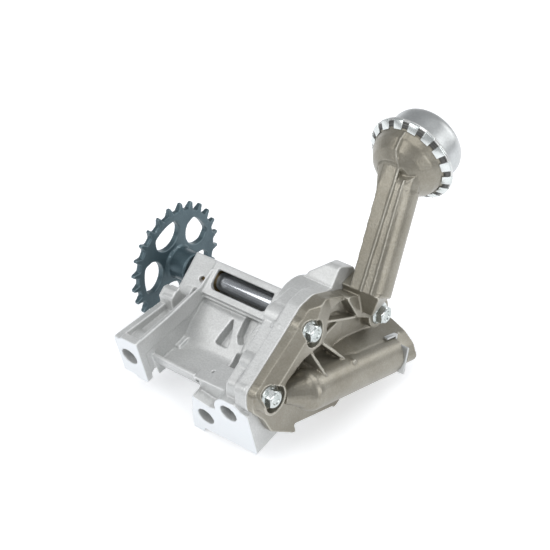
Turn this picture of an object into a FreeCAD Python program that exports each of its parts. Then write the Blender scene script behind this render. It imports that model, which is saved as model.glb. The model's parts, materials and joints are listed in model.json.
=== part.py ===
"""Chain-driven gear oil pump with a cast pickup and a built-in relief valve.

Millimetres. The origin is the mouth of the front dowel bore on the mounting face.
+X runs along the pump shaft from the sprocket to the cover, +Y runs away from the
engine towards the strainer, and +Z completes the frame.
"""
import math
import os

import FreeCAD
import Part

# Pump shaft and chain sprocket
SHAFT_Y = 75.0
SHAFT_Z = 3.5
SHAFT_R = 6.0
SPROCKET_X = -27.0
SPROCKET_TEETH = 24
CHAIN_PITCH = 9.525
ROLLER_R = 3.175
SPROCKET_TIP_RISE = 2.5
SPROCKET_RIM_WALL = 3.5
SPROCKET_THICK = 4.2
SPROCKET_PHASE_DEG = -39.0
SPROCKET_HUB_R = 10.0
SPROCKET_HUB_FILLET = 1.6
SPROCKET_NOSE = 3.0
WINDOW_COUNT = 5
WINDOW_HUB_WALL = 3.8
WINDOW_HALF_DEG = 26.0
WINDOW_CORNER_R = 3.0
WINDOW_PHASE_DEG = 23.5

# Pump gears
GEAR_TEETH = 11
GEAR_CENTRES = 34.4
GEAR_LINE_DEG = 215.5
PRESSURE_ANGLE_DEG = 28.0
ADDENDUM_RATIO = 0.9
DEDENDUM_RATIO = 1.15
BACKLASH = 0.3
GEAR_WIDTH = 18.0
GEAR_TIP_CLEARANCE = 0.1
GEAR_SIDE_CLEARANCE = 0.05
KEY_WIDTH = 3.0
KEY_HEIGHT = 3.0
KEY_LENGTH = 12.0
IDLER_PIN_R = 6.0
IDLER_BUSH_WALL = 1.5
RUNNING_CLEARANCE = 0.03

# Main casting along the shaft
HUB_FACE_X = -9.0
HUB_R = 14.5
SPLIT_X = 91.0
CHAMBER_WALL = 6.0
CASTING_WALL = 5.0
BUSH_WALL = 1.5
FRONT_BUSH_LENGTH = 20.0
TUNNEL_R = 9.4
FLAT_DISTANCE = 11.2
FLAT_TILT_DEG = 28.0
SHAFT_WINDOW_START = 13.0
SHAFT_WINDOW_END = 57.0
SHAFT_WINDOW_WIDTH = 16.5
SHAFT_WINDOW_CORNER = 3.5
WINDOW_LIP = 1.6
OIL_HOLE_R = 2.0
BODY_FACE = (57.0, -0.5)
BODY_FACE_DEG = 30.7
LEFT_POCKET = ((35.2, 57.0, 0.5), (31.0, 40.8, 1.0), (40.6, 40.8, 1.2), (39.4, 48.5, 1.0))
LEFT_POCKET_DEPTH = 6.0
RIGHT_POCKET = ((42.5, 59.6, 1.0), (51.2, 59.6, 1.0), (50.4, 46.3, 1.5), (46.7, 45.1, 1.5), (43.5, 49.0, 1.5))
RIGHT_POCKET_DEPTH = 3.2
SWELL_X = 51.8
SLOT_START_X = 51.0
SLOT_END_X = 55.6
SLOT_DEPTH = 4.5
BLOCK_TOP_Z = -9.5

# Mounting feet
FOOT_HALF_WIDTH = 9.0
FRONT_FOOT_TOP = 15.0
FRONT_FOOT_BOTTOM = -18.5
DOWEL_R = 5.9
FRONT_DOWEL_DEPTH = 8.0
REAR_DOWEL_DEPTH = 9.0
THREAD_R = 3.4
FRONT_THREAD_DEPTH = 15.0
REAR_THREAD_DEPTH = 11.5
DRILL_POINT = 0.6
REAR_DOWEL_X = 54.7
REAR_DOWEL_Z = -22.8
OUTLET_X = 75.8
OUTLET_Z = -7.7
OUTLET_R = 6.0
OUTLET_DEPTH = 20.0
REAR_FOOT_LEFT = 44.5
REAR_FOOT_BOTTOM = -36.0
REAR_FOOT_DEPTH = 12.0

# Pickup cover
COVER_PLATE = 7.5
COVER_RIM = 13.0
PLATE_FLOOR = 5.0
BEARING_DEPTH = 4.5
BEARING_PAD = 6.2
ARCH_R = 15.4
ARCH_SHIFT = 4.0
ARCH_HEIGHT = 8.5
ARCH_START_Y = 57.0
ARCH_END_Y = 75.0
CREST_INSET = 4.4
SKIRT_HEIGHT = 6.0
COVER_RIBS = (
    ((66.0, 20.5), (104.0, -7.3), 1.8, 10.5, 11.5),
    ((58.5, 9.0), (77.5, 9.0), 1.6, 9.0, 9.0),
    ((60.0, 10.0), (76.0, -19.5), 2.4, 9.5, 9.0),
    ((50.5, 11.5), (59.4, -20.5), 2.0, 9.5, 8.5),
)
BOLT_R = 3.0
BOLT_CLEARANCE = 0.3
BOLT_HEAD_R = 5.0
BOLT_FLANGE_R = 7.1
BOLT_FLANGE_THICK = 1.6
BOLT_HEAD_HEIGHT = 6.0
BOLT_POCKET_R = 8.2
BOLT_BOSS_R = 9.8
BOLT_GRIP = 14.0
UPPER_BOLT = (54.8, 22.4)
LOWER_BOLT = (13.3, 7.6)
SIDE_BOLT = (111.0, -11.5)
SIDE_BOLT_SEAT = 12.0
COVER_DOWEL_R = 4.0
COVER_DOWEL_LENGTH = 10.0
UPPER_COVER_DOWEL = (100.0, 2.5)
LOWER_COVER_DOWEL = (21.0, -26.0)

# Relief valve
RELIEF_START = (37.0, -6.5)
RELIEF_SLOPE_DEG = -28.0
RELIEF_X = 106.0
RELIEF_BARREL_R = 12.5
RELIEF_LENGTH = 95.0
RELIEF_BORE_R = 8.0
RELIEF_HEAD_WALL = 8.0
SHOULDER_START = 42.0
SHOULDER_RISE = 14.0
PISTON_LENGTH = 20.0
PISTON_WALL = 1.8
PISTON_TRAVEL = 12.0
PISTON_STOP_GAP = 0.3
SPRING_WIRE_R = 0.9
SPRING_TURNS = 6
SPRING_LINKS = 12
SEAT_THICK = 5.0
CLIP_THICK = 2.0
CLIP_FROM_END = 12.5
CLIP_OVERHANG = 0.8
CLIP_CLEARANCE = 0.1
CLIP_LEG_OUT = 2.2
CLIP_LEG_WIDTH = 3.0
CLIP_LEG_TOP = 14.4
CLIP_LEG_THICK = 1.3
CLIP_LEG_RUN = 11.5

# Pickup tube and strainer
TUBE_BASE = (108.0, 101.0, 12.0)
TUBE_TOP = (104.0, 147.0, 60.0)
TUBE_R = 11.0
TUBE_BORE_R = 7.5
TUBE_FOOT = 3.0
TUBE_FRONT = 9.0
TUBE_RIDGES = ((-3.0, -0.4), (4.4, 5.2))
TUBE_RIDGE_WIDTH = 1.2
TUBE_RIDGE_RISE = 0.7
FOOT_DROP = 18.4
FOOT_LEAN = 8.0
FOOT_CORNER = 1.5
SUCTION_R = 5.5
STRAINER_X = 98.0
STRAINER_Y = 167.5
STRAINER_Z = 65.5
BELL_R = 24.0
BELL_WALL = 2.5
BELL_FLANGE_R = 27.2
BELL_FLANGE_THICK = 3.0
BELL_DEPTH = 16.5
BELL_CURVE = ((0.0, 1.0), (0.4, 0.92), (0.75, 0.74), (1.0, 0.5))
CAP_R = 25.4
CAP_DEPTH = 19.5
CAP_WALL = 1.2
CAP_RIM_R = 29.0
CAP_CORNER_R = 6.5
TAB_COUNT = 14
TAB_HALF_DEG = 7.6
TAB_INNER_R = 24.8
TAB_THICK = 1.0
INLET_LENGTH = 26.0
INLET_WIDTH = 16.0
GAUZE_THICK = 0.8

# Values that follow from the sizes above
TINY = 1e-6
X_AXIS = FreeCAD.Vector(1, 0, 0)
Y_AXIS = FreeCAD.Vector(0, 1, 0)
Z_AXIS = FreeCAD.Vector(0, 0, 1)
SPROCKET_PITCH_R = CHAIN_PITCH / (2 * math.sin(math.pi / SPROCKET_TEETH))
SPROCKET_TIP_R = SPROCKET_PITCH_R + SPROCKET_TIP_RISE
WINDOW_OUTER_R = SPROCKET_PITCH_R - ROLLER_R - SPROCKET_RIM_WALL
WINDOW_INNER_R = SPROCKET_HUB_R + WINDOW_HUB_WALL
GEAR_PITCH_R = GEAR_CENTRES / 2
GEAR_MODULE = 2 * GEAR_PITCH_R / GEAR_TEETH
GEAR_TIP_R = GEAR_PITCH_R + ADDENDUM_RATIO * GEAR_MODULE
GEAR_ROOT_R = GEAR_PITCH_R - DEDENDUM_RATIO * GEAR_MODULE
POCKET_R = GEAR_TIP_R + GEAR_TIP_CLEARANCE
CHAMBER_X = SPLIT_X - GEAR_WIDTH - 2 * GEAR_SIDE_CLEARANCE
CHAMBER_FRONT_X = CHAMBER_X - CHAMBER_WALL
IDLER_Y = SHAFT_Y + GEAR_CENTRES * math.cos(math.radians(GEAR_LINE_DEG))
IDLER_Z = SHAFT_Z + GEAR_CENTRES * math.sin(math.radians(GEAR_LINE_DEG))
BUSH_R = SHAFT_R + RUNNING_CLEARANCE + BUSH_WALL
FLAT_TILT = math.radians(FLAT_TILT_DEG)
FLAT_NORMAL = FreeCAD.Vector(0, -math.sin(FLAT_TILT), math.cos(FLAT_TILT))
FLAT_ACROSS = FreeCAD.Vector(0, math.cos(FLAT_TILT), math.sin(FLAT_TILT))
SEAT_X = SPLIT_X + COVER_PLATE
RIM_X = SPLIT_X + COVER_RIM
RELIEF_SLOPE = math.radians(RELIEF_SLOPE_DEG)
RELIEF_DIR = FreeCAD.Vector(0, math.cos(RELIEF_SLOPE), math.sin(RELIEF_SLOPE))
RELIEF_UP = FreeCAD.Vector(0, -math.sin(RELIEF_SLOPE), math.cos(RELIEF_SLOPE))
RELIEF_ORIGIN = FreeCAD.Vector(RELIEF_X, *RELIEF_START)
CLIP_S = RELIEF_LENGTH - CLIP_FROM_END


def point(x, y, z):
    """Short name for a point in the part's frame."""
    return FreeCAD.Vector(x, y, z)


def rounded_wire(corners, chords=0):
    """Closed wire through (point, radius) corners, rounded by an arc or by a number of straight chords."""
    trims = []
    count = len(corners)
    for index, (corner, radius) in enumerate(corners):
        before = corners[index - 1][0] - corner
        after = corners[(index + 1) % count][0] - corner
        if radius <= 0:
            trims.append((corner, None, corner))
            continue
        half = before.getAngle(after) / 2
        back = min(radius / math.tan(half), 0.49 * before.Length, 0.49 * after.Length)
        radius = back * math.tan(half)
        start = corner + FreeCAD.Vector(before).normalize() * back
        end = corner + FreeCAD.Vector(after).normalize() * back
        inward = (start + end) * 0.5 - corner
        middle = corner + inward.normalize() * (radius / math.sin(half) - radius)
        trims.append((start, middle, end))
    edges = []
    for index, (start, middle, end) in enumerate(trims):
        following = trims[(index + 1) % count][0]
        if middle is not None and chords == 0:
            edges.append(Part.Arc(start, middle, end).toShape())
        elif middle is not None:
            stops = Part.Arc(start, middle, end).toShape().discretize(chords + 1)
            if stops[0].distanceToPoint(start) > TINY:
                stops.reverse()
            for near, far in zip(stops, stops[1:]):
                edges.append(Part.LineSegment(near, far).toShape())
        if end.distanceToPoint(following) > TINY:
            edges.append(Part.LineSegment(end, following).toShape())
    return Part.Wire(edges)


def plate_x(outline, start, end):
    """Prism along X from (y, z, radius) corners."""
    wire = rounded_wire([(point(start, y, z), radius) for y, z, radius in outline])
    return Part.Face(wire).extrude(X_AXIS * (end - start))


def plate_y(outline, start, end):
    """Prism along Y from (x, z, radius) corners."""
    wire = rounded_wire([(point(x, start, z), radius) for x, z, radius in outline])
    return Part.Face(wire).extrude(Y_AXIS * (end - start))


def rod(start, direction, radius, length):
    """Round bar from a point along a direction."""
    return Part.makeCylinder(radius, length, start, direction)


def rod_x(y, z, radius, start, end):
    """Round bar along X."""
    return rod(point(start, y, z), X_AXIS, radius, end - start)


def turned(profile, origin, axis, chords=1):
    """Turned piece from (along, radius, bevel) corners about an axis."""
    wire = rounded_wire([(point(radius, 0, along), bevel) for along, radius, bevel in profile], chords)
    solid = Part.Face(wire).revolve(point(0, 0, 0), Z_AXIS, 360)
    solid.Placement = FreeCAD.Placement(origin, FreeCAD.Rotation(Z_AXIS, axis))
    return solid


def slab(centre, along, across, size, depth_axis):
    """Box centred on a point, with its length along one direction and its width across another."""
    length, width, depth = size
    corner = centre - along * (length / 2) - across * (width / 2) - depth_axis * (depth / 2)
    wire = Part.makePolygon([
        corner,
        corner + along * length,
        corner + along * length + across * width,
        corner + across * width,
        corner,
    ])
    return Part.Face(wire).extrude(depth_axis * depth)


def polar(centre_y, centre_z, radius, angle, x=0.0):
    """Point at an angle about an X-wise axis."""
    return point(x, centre_y + radius * math.cos(angle), centre_z + radius * math.sin(angle))


def arc_edge(start, middle, end):
    """Arc through three points."""
    return Part.Arc(start, middle, end).toShape()


def join(*shapes):
    """One clean solid from several."""
    first, *rest = shapes
    return first.fuse(rest).removeSplitter()


def export(shape, name):
    """Write one node."""
    shape.exportStep(f"parts/{name}.step")


# Gears


def involute_angle(radius, base_radius):
    """Angle that an involute has unwound by at a radius."""
    if radius <= base_radius:
        return 0.0
    slope = math.sqrt((radius / base_radius) ** 2 - 1)
    return slope - math.atan(slope)


def gear_blank(centre_y, centre_z, phase, start, width):
    """Spur gear with involute flanks, one tooth centred on the phase angle."""
    base_r = GEAR_PITCH_R * math.cos(math.radians(PRESSURE_ANGLE_DEG))
    pitch_angle = 2 * math.pi / GEAR_TEETH
    half_at_pitch = pitch_angle / 4 - BACKLASH / (4 * GEAR_PITCH_R)
    at_pitch = involute_angle(GEAR_PITCH_R, base_r)

    def half_angle(radius):
        return half_at_pitch + at_pitch - involute_angle(radius, base_r)

    flank_radii = [max(base_r, GEAR_ROOT_R), GEAR_PITCH_R, GEAR_TIP_R]
    edges = []
    for tooth in range(GEAR_TEETH):
        middle = phase + tooth * pitch_angle
        rising = [polar(centre_y, centre_z, r, middle - half_angle(r), start) for r in flank_radii]
        falling = [polar(centre_y, centre_z, r, middle + half_angle(r), start) for r in flank_radii]
        root_angle = half_angle(flank_radii[0])
        root_in = polar(centre_y, centre_z, GEAR_ROOT_R, middle - root_angle, start)
        root_out = polar(centre_y, centre_z, GEAR_ROOT_R, middle + root_angle, start)
        next_in = polar(centre_y, centre_z, GEAR_ROOT_R, middle + pitch_angle - root_angle, start)
        edges.append(Part.LineSegment(root_in, rising[0]).toShape())
        edges.append(arc_edge(*rising))
        edges.append(Part.LineSegment(rising[2], falling[2]).toShape())
        edges.append(arc_edge(falling[2], falling[1], falling[0]))
        edges.append(Part.LineSegment(falling[0], root_out).toShape())
        edges.append(Part.LineSegment(root_out, next_in).toShape())
    return Part.Face(Part.Wire(edges)).extrude(X_AXIS * width)


def gear_start():
    """Front face of both pump gears."""
    return CHAMBER_X + GEAR_SIDE_CLEARANCE


def key_box(start, length, clearance):
    """Space of the key between shaft and drive gear."""
    low = SHAFT_Z + SHAFT_R - KEY_HEIGHT / 2
    return Part.makeBox(
        length + 2 * clearance,
        KEY_WIDTH + 2 * clearance,
        KEY_HEIGHT + clearance,
        point(start - clearance, SHAFT_Y - KEY_WIDTH / 2 - clearance, low),
    )


def key_start():
    """Where the key begins, centred in the gear."""
    return gear_start() + (GEAR_WIDTH - KEY_LENGTH) / 2


def drive_gear():
    """Keyed gear on the pump shaft."""
    phase = math.radians(GEAR_LINE_DEG)
    gear = gear_blank(SHAFT_Y, SHAFT_Z, phase, gear_start(), GEAR_WIDTH)
    bore = rod_x(SHAFT_Y, SHAFT_Z, SHAFT_R, gear_start() - 1, gear_start() + GEAR_WIDTH + 1)
    return gear.cut([bore, key_box(key_start(), KEY_LENGTH, 0)])


def idler_gear():
    """Driven gear, carried by its bush on the fixed pin."""
    phase = math.radians(GEAR_LINE_DEG + 180) + math.pi / GEAR_TEETH
    gear = gear_blank(IDLER_Y, IDLER_Z, phase, gear_start(), GEAR_WIDTH)
    return gear.cut(rod_x(IDLER_Y, IDLER_Z, idler_bush_r(), gear_start() - 1, SPLIT_X + 1))


def idler_bush_r():
    """Outside of the bush pressed into the idler gear."""
    return IDLER_PIN_R + RUNNING_CLEARANCE + IDLER_BUSH_WALL


def ring_x(y, z, outer, inner, start, end):
    """Plain sleeve along X."""
    return rod_x(y, z, outer, start, end).cut(rod_x(y, z, inner, start - 1, end + 1))


def idler_bush():
    """Plain bearing in the idler gear."""
    return ring_x(
        IDLER_Y, IDLER_Z, idler_bush_r(), IDLER_PIN_R + RUNNING_CLEARANCE,
        gear_start(), gear_start() + GEAR_WIDTH,
    )


def idler_spindle():
    """Pin pressed into the casting for the idler gear."""
    chamfer = 0.6
    start = CHAMBER_FRONT_X + 2
    end = SPLIT_X + COVER_PLATE / 2
    length = end - start
    return turned(
        [(0, 0, 0), (0, IDLER_PIN_R, chamfer), (length, IDLER_PIN_R, chamfer), (length, 0, 0)],
        point(start, IDLER_Y, IDLER_Z), X_AXIS,
    )


# Shaft and sprocket


def shaft_end_x():
    """Rear end of the pump shaft, inside the cover bearing."""
    return SPLIT_X + BEARING_DEPTH - 0.5


def shaft_front_x():
    """Front end of the pump shaft, just inside the sprocket nose."""
    return SPROCKET_X - SPROCKET_THICK / 2 - SPROCKET_NOSE + 1.0


def drive_shaft():
    """Ground shaft from the sprocket to the cover bearing."""
    chamfer = 0.8
    length = shaft_end_x() - shaft_front_x()
    shaft = turned(
        [(0, 0, 0), (0, SHAFT_R, chamfer), (length, SHAFT_R, chamfer), (length, 0, 0)],
        point(shaft_front_x(), SHAFT_Y, SHAFT_Z), X_AXIS,
    )
    return shaft.cut(key_box(key_start(), KEY_LENGTH, 0))


def gear_key():
    """Square key between the shaft and the drive gear."""
    return key_box(key_start(), KEY_LENGTH, 0)


def sprocket_outline(x):
    """Toothed rim with a rounded seat for each chain roller."""
    pitch_angle = 2 * math.pi / SPROCKET_TEETH
    seat_half = math.radians(62)
    tip_half = 0.020
    edges = []
    for tooth in range(SPROCKET_TEETH):
        crest = math.radians(SPROCKET_PHASE_DEG) + tooth * pitch_angle
        gap = crest + pitch_angle / 2
        seat_y = SHAFT_Y + SPROCKET_PITCH_R * math.cos(gap)
        seat_z = SHAFT_Z + SPROCKET_PITCH_R * math.sin(gap)
        inward = gap + math.pi
        seat = [polar(seat_y, seat_z, ROLLER_R, inward + turn, x) for turn in (seat_half, 0, -seat_half)]
        tip_in = polar(SHAFT_Y, SHAFT_Z, SPROCKET_TIP_R, crest - tip_half, x)
        tip_out = polar(SHAFT_Y, SHAFT_Z, SPROCKET_TIP_R, crest + tip_half, x)
        tip_next = polar(SHAFT_Y, SHAFT_Z, SPROCKET_TIP_R, crest + pitch_angle - tip_half, x)
        first, last = seat[0], seat[2]
        if first.distanceToPoint(tip_out) > last.distanceToPoint(tip_out):
            first, last = last, first
        edges.append(Part.LineSegment(tip_in, tip_out).toShape())
        edges.append(Part.LineSegment(tip_out, first).toShape())
        edges.append(arc_edge(first, seat[1], last))
        edges.append(Part.LineSegment(last, tip_next).toShape())
    return Part.Wire(edges)


def sprocket_window(angle, x, thick):
    """One opening between two spokes: an outer and an inner arc with rounded corners."""
    half = math.radians(WINDOW_HALF_DEG)
    corner_r = (WINDOW_OUTER_R + WINDOW_INNER_R) / 2 + WINDOW_CORNER_R
    outer_turn = half * 0.72
    outer = [polar(SHAFT_Y, SHAFT_Z, WINDOW_OUTER_R, angle + turn, x) for turn in (-outer_turn, 0, outer_turn)]
    side = [polar(SHAFT_Y, SHAFT_Z, corner_r, angle + turn, x) for turn in (half, -half)]
    inner = polar(SHAFT_Y, SHAFT_Z, WINDOW_INNER_R, angle, x)
    edges = [
        arc_edge(*outer),
        Part.LineSegment(outer[2], side[0]).toShape(),
        arc_edge(side[0], inner, side[1]),
        Part.LineSegment(side[1], outer[0]).toShape(),
    ]
    opening = Part.Face(Part.Wire(edges)).extrude(X_AXIS * thick)
    rounded = [edge for edge in opening.Edges if edge.BoundBox.XLength > thick / 2]
    return opening.makeFillet(WINDOW_CORNER_R, rounded)


def drive_sprocket():
    """Chain sprocket with its long hub, pressed on the shaft."""
    front = SPROCKET_X - SPROCKET_THICK / 2
    back = SPROCKET_X + SPROCKET_THICK / 2
    hub_end = HUB_FACE_X - 2.0
    plate = Part.Face(sprocket_outline(front)).extrude(X_AXIS * SPROCKET_THICK)
    windows = []
    for index in range(WINDOW_COUNT):
        angle = math.radians(WINDOW_PHASE_DEG + index * 360 / WINDOW_COUNT)
        windows.append(sprocket_window(angle, front - 1, SPROCKET_THICK + 2))
    plate = plate.cut(windows)
    nose = SPROCKET_NOSE
    hub = turned(
        [(-nose, 0, 0), (-nose, SPROCKET_HUB_R - 1, 0.6), (0, SPROCKET_HUB_R, 0), (SPROCKET_THICK, SPROCKET_HUB_R, 0),
         (SPROCKET_THICK, SPROCKET_HUB_R + SPROCKET_HUB_FILLET, 0),
         (SPROCKET_THICK + SPROCKET_HUB_FILLET, SPROCKET_HUB_R, 0),
         (hub_end - front, SPROCKET_HUB_R, 0.8), (hub_end - front, 0, 0)],
        point(front, SHAFT_Y, SHAFT_Z), X_AXIS,
    )
    bore = rod_x(SHAFT_Y, SHAFT_Z, SHAFT_R, front - nose - 1, hub_end + 1)
    return plate.fuse(hub).cut(bore).removeSplitter()


def shaft_bush(start, length):
    """Plain bearing for the pump shaft."""
    return ring_x(SHAFT_Y, SHAFT_Z, BUSH_R, SHAFT_R + RUNNING_CLEARANCE, start, start + length)


# Main casting


def flange_outline(grow=0.0):
    """Joint outline of casting and cover as (y, z, radius) corners."""
    return [
        (1.5 - grow, 3.0, 5),
        (4.0 - grow, 14.0 + grow, 5),
        (44.0, 28.3 + grow, 14),
        (60.0, 34.5 + grow, 8),
        (72.0, 33.5 + grow, 8),
        (83.0 + grow, 26.0 + grow, 8),
        (93.0 + grow, 17.5 + grow, 10),
        (107.0 + grow, 2.5 + grow, 8),
        (121.0 + grow, -8.0, 8),
        (118.0 + grow, -23.0 - grow, 8),
        (96.0, -31.0 - grow, 12),
        (82.0, -52.0 - grow, 10),
        (62.0, -57.0 - grow, 10),
        (42.0, -48.0 - grow, 8),
        (27.0 - grow, -41.0 - grow, 4),
        (11.0 - grow, -23.0 - grow, 4),
        (7.5 - grow, -9.0, 8),
    ]


def gear_pockets(start, end, radius):
    """Both gear circles, joined by the port spaces beside the mesh."""
    drive = rod_x(SHAFT_Y, SHAFT_Z, radius, start, end)
    idler = rod_x(IDLER_Y, IDLER_Z, radius, start, end)
    return drive.fuse(idler)


def port_space(side, start, end):
    """Cast port beside the mesh, on the pressure (+1) or suction (-1) side."""
    line = math.radians(GEAR_LINE_DEG)
    middle_y = (SHAFT_Y + IDLER_Y) / 2
    middle_z = (SHAFT_Z + IDLER_Z) / 2
    reach = 0.75 * POCKET_R
    centre = polar(middle_y, middle_z, reach, line - side * math.pi / 2)
    return rod_x(centre.y, centre.z, 8.0, start, end)


def pressure_centre():
    """Centre of the pressure port in the YZ plane."""
    line = math.radians(GEAR_LINE_DEG)
    return polar((SHAFT_Y + IDLER_Y) / 2, (SHAFT_Z + IDLER_Z) / 2, 0.75 * POCKET_R, line - math.pi / 2)


def tunnel_blank():
    """Shaft tunnel with the tilted flat on its top."""
    tunnel = rod_x(SHAFT_Y, SHAFT_Z, HUB_R, HUB_FACE_X, CHAMBER_X)
    length = CHAMBER_X - HUB_FACE_X + 2
    centre = point((HUB_FACE_X + CHAMBER_X) / 2, SHAFT_Y, SHAFT_Z) + FLAT_NORMAL * (FLAT_DISTANCE + HUB_R)
    above = slab(centre, X_AXIS, FLAT_ACROSS, (length, 4 * HUB_R, 2 * HUB_R), FLAT_NORMAL)
    return tunnel.cut(above)


def window_prism(start, end, width, corner, low, high):
    """Rounded slot through the tilted flat, between two heights above the shaft axis."""
    base = point(0, SHAFT_Y, SHAFT_Z) + FLAT_NORMAL * low
    half = width / 2
    corners = []
    for x, side in ((start, -1), (end, -1), (end, 1), (start, 1)):
        corners.append((base + X_AXIS * x + FLAT_ACROSS * (side * half), corner))
    return Part.Face(rounded_wire(corners)).extrude(FLAT_NORMAL * (high - low))


def front_arm():
    """Channel arm from the front foot to the hub."""
    half = FOOT_HALF_WIDTH
    core = plate_x(
        [(0, FRONT_FOOT_BOTTOM, 2), (0, 6, 1), (10, 6, 2), (45, 1.5, 2), (SHAFT_Y, SHAFT_Z, 0),
         (SHAFT_Y, SHAFT_Z - HUB_R, 0), (45, -13, 6), (13, -11.5, 4)],
        -half, half,
    )
    outer_wall = plate_x(
        [(0, 4, 1), (0, 13.5, 1.5), (6, 12.5, 1.5), (46, 5.5, 1.5), (SHAFT_Y, 9, 0), (SHAFT_Y, 0, 0), (45, -1, 2)],
        -half, -half + 4.5,
    )
    inner_wall = plate_x(
        [(0, 4, 1), (0, FRONT_FOOT_TOP, 1.5), (31, 12.2, 6), (60, 11.5, 3), (SHAFT_Y - 3, 15.4, 0),
         (SHAFT_Y, 4, 0), (45, -1, 2)],
        half - 2.0, half + 0.8,
    )
    boss = rod(point(0, 0, 0), Y_AXIS, DOWEL_R + 2.8, 11).fuse(Part.makeSphere(DOWEL_R + 2.8, point(0, 11, 0)))
    foot = plate_y(
        [(-half, -6, 5), (-half, 8, 5), (-3, FRONT_FOOT_TOP, 2), (half + 0.8, FRONT_FOOT_TOP, 1),
         (half + 0.8, FRONT_FOOT_BOTTOM, 1), (2, FRONT_FOOT_BOTTOM, 5)],
        0, 5,
    )
    lug = plate_x(
        [(40.5, 0, 0), (41, 11.5, 1), (46.5, 14.5, 2), (56, 11.0, 2), (60, 5.5, 2), (60, 0, 0)],
        -half, 1.5,
    )
    return join(core, outer_wall, inner_wall, boss, foot, lug)


def pump_body():
    """Cast body between the arm and the gear chamber, below the shaft window."""
    start = FOOT_HALF_WIDTH
    shell = plate_x(
        [(9.5, -20, 2), (9.5, -2.5, 0.8), (12, -2.5, 0.8), (12.6, -11, 1), (35, -13.6, 8), (46, -6, 10),
         (57, -0.5, 4), (SHAFT_Y, SHAFT_Z, 0), (SHAFT_Y + 8, SHAFT_Z - HUB_R + 3, 6), (60, -17, 8), (34, -22, 8)],
        start, CHAMBER_X,
    )
    swell = plate_x(
        [(34, -16, 0), (37, -9.5, 3), (46, -4.2, 8), (58, 2.0, 3), (64, 8, 2), (68, 0, 0), (58, -8, 0)],
        SWELL_X, CHAMBER_FRONT_X,
    )
    block = plate_y(
        [(SLOT_END_X, -19, 0), (SLOT_END_X, BLOCK_TOP_Z, 0.8), (SLOT_END_X + 7, BLOCK_TOP_Z, 0.8), (SLOT_END_X + 7, -19, 0)],
        24.0, 32.0,
    )
    step = plate_x(
        [(22, -14, 0), (24, -4, 3), (44, 4, 4), (59, 9, 1), (62, -6, 0), (40, -16, 0)],
        CHAMBER_FRONT_X - 2, CHAMBER_X,
    )
    lip_start = SHAFT_WINDOW_START - 3
    lip_end = SHAFT_WINDOW_END + 3
    rail = slab(
        point((lip_start + lip_end) / 2, SHAFT_Y, SHAFT_Z)
        - FLAT_ACROSS * (SHAFT_WINDOW_WIDTH / 2 + 2.2) + FLAT_NORMAL * (FLAT_DISTANCE - 2.4),
        X_AXIS, FLAT_ACROSS, (lip_end - lip_start, 4.4, 4.8), FLAT_NORMAL,
    )
    web = slab(
        point((lip_start + lip_end) / 2, SHAFT_Y, SHAFT_Z)
        - FLAT_ACROSS * (SHAFT_WINDOW_WIDTH / 2 + 3.6) + FLAT_NORMAL * (FLAT_DISTANCE - 9),
        X_AXIS, FLAT_ACROSS, (lip_end - lip_start, 5.0, 12.0), FLAT_NORMAL,
    )
    solid = join(shell, swell, block, step, rail, web)
    slot = Part.makeBox(
        SLOT_END_X - SLOT_START_X, 27, SLOT_DEPTH + 3, point(SLOT_START_X, 13, -13.6 - SLOT_DEPTH),
    )
    return solid.cut([slot, body_pocket(LEFT_POCKET, LEFT_POCKET_DEPTH), body_pocket(RIGHT_POCKET, RIGHT_POCKET_DEPTH)])


def body_pocket(corners, depth):
    """Cored pocket in the sloping face of the body, from (x, y) corners on that face."""
    lean = math.radians(BODY_FACE_DEG)
    normal = point(0, -math.sin(lean), math.cos(lean))
    places = []
    for x, y, radius in corners:
        places.append((point(x, y, BODY_FACE[1] + (y - BODY_FACE[0]) * math.tan(lean)) + normal * 4, radius))
    return Part.Face(rounded_wire(places)).extrude(normal * -(depth + 4))


def gear_case():
    """Walls round the gear chamber, with the joint flange and the bolt bosses."""
    inset = 3.0
    case = plate_x(flange_outline(-inset), CHAMBER_FRONT_X + 6, SPLIT_X)
    flange = plate_x(flange_outline(), SPLIT_X - 9, SPLIT_X)
    front = gear_pockets(CHAMBER_FRONT_X, SPLIT_X, POCKET_R + CASTING_WALL - 1)
    bosses = []
    for y, z in (UPPER_BOLT, SIDE_BOLT):
        bosses.append(rod_x(y, z, BOLT_BOSS_R - 1.2, SPLIT_X - 20, SPLIT_X))
    bosses.append(rod_x(*LOWER_BOLT, BOLT_BOSS_R - 1.2, SPLIT_X - 11, SPLIT_X))
    return join(case, flange, front, *bosses)


def rear_foot():
    """Foot with the rear dowel bore and the oil outlet port."""
    left = REAR_FOOT_LEFT
    bottom = REAR_FOOT_BOTTOM
    outlet_top = OUTLET_Z + OUTLET_R + 4.6
    face = plate_y(
        [(left, -4.0, 1.5), (left, bottom - 4, 2), (left + 5, bottom - 4, 1), (left + 6, bottom, 1),
         (SPLIT_X, bottom, 1), (SPLIT_X, outlet_top - 5, 1), (OUTLET_X + 11, outlet_top - 4, 3),
         (OUTLET_X + 7, outlet_top, 5), (OUTLET_X - 6, outlet_top, 6), (OUTLET_X - 10.5, -10, 4),
         (OUTLET_X - 16, REAR_DOWEL_Z + 11.5, 3), (left + 3.5, REAR_DOWEL_Z + 14, 2), (left + 2.5, -4.0, 0.5)],
        0, REAR_FOOT_DEPTH,
    )
    base = plate_y(
        [(left, 0, 1.5), (left, bottom - 3, 2), (SPLIT_X, bottom, 1), (SPLIT_X, 2, 1)],
        7.5, 24,
    )
    port = rod(point(OUTLET_X, 0, OUTLET_Z), Y_AXIS, OUTLET_R + 4.6, 28)
    return join(face, base, port)


def upper_lug():
    """Lug on the top corner of the casting, beside the pickup tube."""
    body = plate_x(
        [(84, 12, 2), (88, 25, 3), (98, 33, 4), (110, 23, 5), (110, 14, 4), (99, 4, 2)],
        SPLIT_X - 19, SPLIT_X,
    )
    return body


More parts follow.
